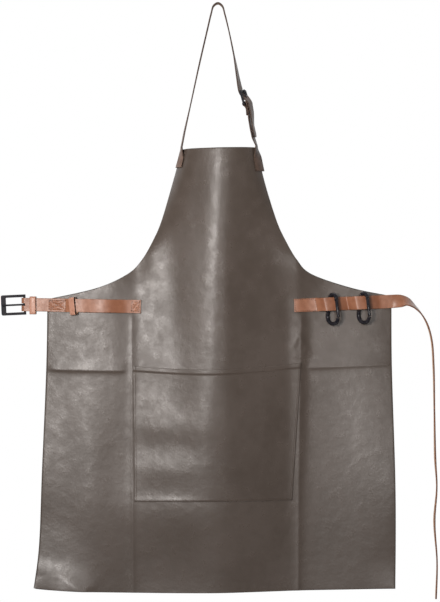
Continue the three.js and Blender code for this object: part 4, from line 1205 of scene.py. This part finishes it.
for row in HOOKS:
    strap_z = waist_strap_z(row["x"])
    hook_depth = panel_depth(row["x"], strap_z) - HOOK["lift"]
    place = (row["x"], hook_depth, strap_z + WAIST_WIDTH / 2 - HOOK["seat"])
    wire, ring = wire_start(HOOK["wire"] / 2, HOOK["sides"], nose, (-nose_way.y, nose_way.x, 0))
    ring = wire_bend(wire, ring, bottom_middle, round_bottom, HOOK["bend_steps"])
    ring = wire_run(wire, ring, left_way * HOOK["top"] - bottom_middle - left_way * HOOK["bottom"])
    ring = wire_bend(wire, ring, (0, 0, 0), round_top, HOOK["bend_steps"])
    wire_run(wire, ring, gate_way * HOOK["stub"])
    wire_finish(wire, HOOK["rounding"])
    pin = bmesh.ops.create_cone(wire, cap_ends=True, segments=HOOK["sides"], radius1=HOOK["pin"],
                                radius2=HOOK["pin"], depth=HOOK["pin_length"],
                                matrix=Matrix.Translation(gate_hinge))["verts"]
    pin_edges = {edge for vert in pin for edge in vert.link_edges}
    pin_half = HOOK["pin_length"] / 2
    rims = [edge for edge in pin_edges if abs(edge.verts[0].co.z - edge.verts[1].co.z) < pin_half]
    rounded(wire, rims, HOOK["pin_edge"], HOOK["pin_edge_steps"])
    placed(wire, hook_right, hook_up, hook_out, place)
    hook = mesh_object("hook_" + row["side"] + "_wire", wire, [polished_enamel])
    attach(hook, row["side"] + "_hook")
    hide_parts("hook_" + row["side"])
    gate, ring = wire_start(HOOK["gate_wire"] / 2, HOOK["sides"], gate_hinge, gate_way)
    wire_run(gate, ring, gate_way * gate_length)
    wire_finish(gate, HOOK["rounding"])
    placed(gate, hook_right, hook_up, hook_out, place)
    hook_gate = mesh_object("hook_" + row["side"] + "_gate_pin", gate, [polished_enamel])
    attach(hook_gate, row["side"] + "_gate")
    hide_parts("hook_" + row["side"] + "_gate")

# Neck buckle: a small open frame like the waist buckle's, with its bar and tongue, that hangs in the loop
# of the short strap and holds the long one fastened. Black enamel.
NECK_LEATHER = 2.4
NECK_WIDTH = 20
NECK_BUCKLE = {
    "place": Vector((50, 0, -175)), "lean": math.radians(16), "turn": math.radians(22),
    "length": 28, "width": 30, "bar": 4, "thick": 3.4, "bar_radius": 1.8, "corner": 2.6, "edge": 0.5,
    "tongue": 3, "tongue_past": 1, "tongue_bend": math.radians(90), "tongue_steps": 8, "tongue_rounding": 1,
    "strap_twist": math.radians(16),
}
neck_turn = Matrix.Rotation(-NECK_BUCKLE["lean"], 3, "Y") @ Matrix.Rotation(-NECK_BUCKLE["turn"], 3, "Z")
neck_out = neck_turn @ Vector((1, 0, 0))
neck_across = neck_turn @ Vector((0, 1, 0))
neck_up = neck_turn @ Vector((0, 0, 1))
neck_bar_z = (NECK_BUCKLE["bar"] - NECK_BUCKLE["length"]) / 2

neck_shape = open_frame(NECK_BUCKLE["length"], NECK_BUCKLE["width"], NECK_BUCKLE["bar"], NECK_BUCKLE["bar"],
                        NECK_BUCKLE["thick"], NECK_BUCKLE["corner"], NECK_BUCKLE["edge"])
bmesh.ops.translate(neck_shape, verts=neck_shape.verts, vec=(NECK_BUCKLE["length"] / 2, 0, 0))
add_bar(neck_shape, NECK_BUCKLE["bar_radius"], NECK_BUCKLE["width"] - NECK_BUCKLE["bar"], -neck_bar_z)
smooth(neck_shape)
placed(neck_shape, -neck_up, neck_across, neck_up.cross(-neck_across), NECK_BUCKLE["place"])
neck_frame = mesh_object("neck_buckle_casting", neck_shape, [black_enamel])
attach(neck_frame, "apron")
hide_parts("neck_buckle")
tongue_rest = (NECK_BUCKLE["thick"] + NECK_BUCKLE["tongue"] - GAP) / 2
neck_wire, neck_ring = wire_start(NECK_BUCKLE["tongue"] / 2, TONGUE["sides"], (0, neck_bar_z, 0), (1, 0, 0))
neck_ring = wire_bend(neck_wire, neck_ring, (0, neck_bar_z + tongue_rest, 0), NECK_BUCKLE["tongue_bend"],
                      NECK_BUCKLE["tongue_steps"])
tongue_end = NECK_BUCKLE["length"] / 2 + NECK_BUCKLE["tongue_past"]
wire_run(neck_wire, neck_ring, (0, tongue_end - neck_bar_z - tongue_rest, 0))
wire_finish(neck_wire, NECK_BUCKLE["tongue_rounding"])
placed(neck_wire, neck_out, neck_up, neck_out.cross(neck_up), NECK_BUCKLE["place"])
neck_tongue = mesh_object("neck_buckle_tongue", neck_wire, [black_enamel])
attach(neck_tongue, "apron")

# Short neck strap: grey-brown strap leather sewn on the bib's right corner, its colour darkened as painted
# shade. It runs up to the neck buckle, goes round its bar and ends folded back behind itself.
NECK_TABS = {
    "left": {"bottom": -306, "top": -268, "inset": 0.5, "turns_at": 0.5},
    "right": {"bottom": -313, "top": -265, "inset": -2, "turns_at": 0},
}
SHORT_ROUTE = [(60.5, 0, -224, 9), (66.5, 0, -250, 15)]
SHORT_LEAVES = {"in": 1, "down": 9}
NECK_FOLD_ENDS = (0.5, 0.3)
NECK_SHARES = (-0.5, -1 / 6, 1 / 6, 0.5)
NECK_COLUMNS = 16
NECK_STEP = 1.2
NECK_EDGE_ROUND = 0.45
EDGE_HALVINGS = 30
TAB_ROWS = 12
TAB_HIGHEST = BIB_TOP - 1
TAB_PEEL = {"height": 24, "share": 0.75}
neck_fold = NECK_BUCKLE["bar_radius"] + 2 * GAP + NECK_LEATHER / 2
neck_layer = NECK_LEATHER + GAP
NECK_GRAIN = TAN_GRAIN | {
    "dark": (0.06, 0.035, 0.025, 1), "light": (0.1, 0.062, 0.046, 1),
    "matt": 0.5, "polish": 0.1, "gloss": 0.4, "coat": 0,
}
# The short strap's darker colour is painted shade, as if the whole strap lay turned away from the light.
SHORT_GRAIN_PAINTED_SHADE = NECK_GRAIN | {"dark": (0.03, 0.018, 0.012, 1), "light": (0.06, 0.037, 0.027, 1)}
neck_grain = grain_finish("neck_grain", NECK_GRAIN)
neck_flesh = flesh_finish("neck_flesh", (0.14, 0.085, 0.065, 1), (0.23, 0.15, 0.115, 1))
short_grain_painted_shade = grain_finish("short_grain_painted_shade", SHORT_GRAIN_PAINTED_SHADE)
neck_edge = edge_finish("neck_edge", (0.024, 0.015, 0.011, 1), (0.05, 0.032, 0.024, 1))


def at_buckle(x, z, twist=0):
    """A strap's knot at a place in the buckle's frame, turned further round than the frame by a twist."""
    across = Matrix.Rotation(-twist, 3, "Z") @ neck_across
    return {"point": NECK_BUCKLE["place"] + neck_out * x + neck_up * z, "across": across}


def route_knots(route):
    return [{"point": (x, y, z), "turn": turn} for x, y, z, turn in route]


def edge_x(side, z):
    """The panel's edge at a height above the waist."""
    points = [Vector(place[side]) for place in ARMHOLES]
    share = halved(lambda share: spline_point(points, share).y <= z, EDGE_HALVINGS)
    return spline_point(points, share).x


def tab_rows(tab, side, inward):
    """Rows of a sewn tab, from its lower end upwards, each from inside to the panel's edge. Near its upper
    end the tab peels off and turns edge-on."""
    walk = 0.05
    rows = []
    for z in steps(tab["bottom"], tab["top"], (tab["top"] - tab["bottom"]) / TAB_ROWS):
        x = edge_x(side, min(z, TAB_HIGHEST)) + inward * tab["inset"]
        row, done = [], 0
        for share in NECK_SHARES:
            while done < (share + 0.5) * NECK_WIDTH:
                done += math.hypot(walk, panel_depth(x + inward * walk, z) - panel_depth(x, z))
                x += inward * walk
            row.insert(0, before_panel(x, z, SEAM_GAP + NECK_LEATHER / 2) / MM)
        peel = TAB_PEEL["share"] * smooth_step(z, tab["top"] - TAB_PEEL["height"], tab["top"])
        pivot = row[-1].lerp(row[0], 0.5 - tab["turns_at"])
        for index, share in enumerate(NECK_SHARES):
            edge_on = pivot - Vector((0, (tab["turns_at"] - share) * NECK_WIDTH, 0))
            row[index] = row[index].lerp(edge_on, peel)
        rows.append(row)
    return rows


short_run = [
    at_buckle(neck_fold, neck_bar_z),
    at_buckle(neck_fold - SHORT_LEAVES["in"], neck_bar_z - SHORT_LEAVES["down"]),
]
short_run += route_knots(SHORT_ROUTE)
short_line = StrapLine(short_run)
short_knots = [short_line.beside(share, -neck_layer) for share in NECK_FOLD_ENDS]
for quarter in (-1, -0.5, 0, 0.5):
    angle = quarter * math.pi / 2
    short_knots.append(at_buckle(neck_fold * math.sin(angle), neck_bar_z + neck_fold * math.cos(angle)))
short_rows = StrapLine(short_knots + short_run).rows(NECK_WIDTH, NECK_SHARES)
short_rows += reversed(tab_rows(NECK_TABS["right"], "right", -1))
short_ribbon = Ribbon(short_rows)
short_sheet = strap_sheet(short_ribbon, NECK_STEP, NECK_COLUMNS)
leather_wall(short_sheet, NECK_LEATHER, front_share=0.5, round_edge=NECK_EDGE_ROUND)
short_strap = mesh_object("neck_strap_short", short_sheet, [short_grain_painted_shade, neck_flesh, neck_edge])
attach(short_strap, "apron")
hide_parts("neck_buckle_strap")

# Long neck strap: the short strap's leather without its painted shade, sewn on the bib's left corner. It runs
# up over the hang point, behind the buckle's far bar, over its near bar and down along the short strap to its
# free end.
NECK_ROUTE = [
    (-62, 8, -236, 6), (-52, 6, -192, 2), (-34.5, 3, -112, 0), (-21, 1, -54, 0), (-12.5, 0, -18, 0),
    (-8.2, 0, -4, 0), (0, 0, 1.2, 0), (8.2, 0, -4, 0), (13, 0, -19, 0), (21.5, 0, -54, 2), (30.5, 0, -98, 4),
]
NECK_TIP = {"length": 10, "width": 0.5}
NECK_TAIL = [(0.2, 0.8), (0.45, 2.2), (0.7, 2), (1, 1)]
behind_bar = -(NECK_BUCKLE["thick"] + NECK_LEATHER) / 2 - 2 * GAP
over_fold = neck_fold + neck_layer + 2 * GAP
long_knots = route_knots(NECK_ROUTE)
long_knots += [
    at_buckle(behind_bar, -neck_bar_z + 2 * NECK_BUCKLE["bar"]),
    at_buckle(behind_bar, -neck_bar_z - NECK_BUCKLE["bar"] / 2),
    at_buckle((behind_bar + over_fold) / 2, 0, NECK_BUCKLE["strap_twist"]),
    at_buckle(over_fold, neck_bar_z),
]
long_knots += [short_line.beside(share, neck_layer + clear) for share, clear in NECK_TAIL]
long_rows = tab_rows(NECK_TABS["left"], "left", 1) + StrapLine(long_knots).rows(NECK_WIDTH, NECK_SHARES)
long_ribbon = Ribbon(long_rows)
long_sheet = strap_sheet(long_ribbon, NECK_STEP, NECK_COLUMNS, share_at=pointed(long_ribbon, NECK_TIP))
leather_wall(long_sheet, NECK_LEATHER, front_share=0.5, round_edge=NECK_EDGE_ROUND)
long_strap = mesh_object("neck_strap_long", long_sheet, [neck_grain, neck_flesh, neck_edge])
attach(long_strap, "apron")
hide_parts("neck_strap")
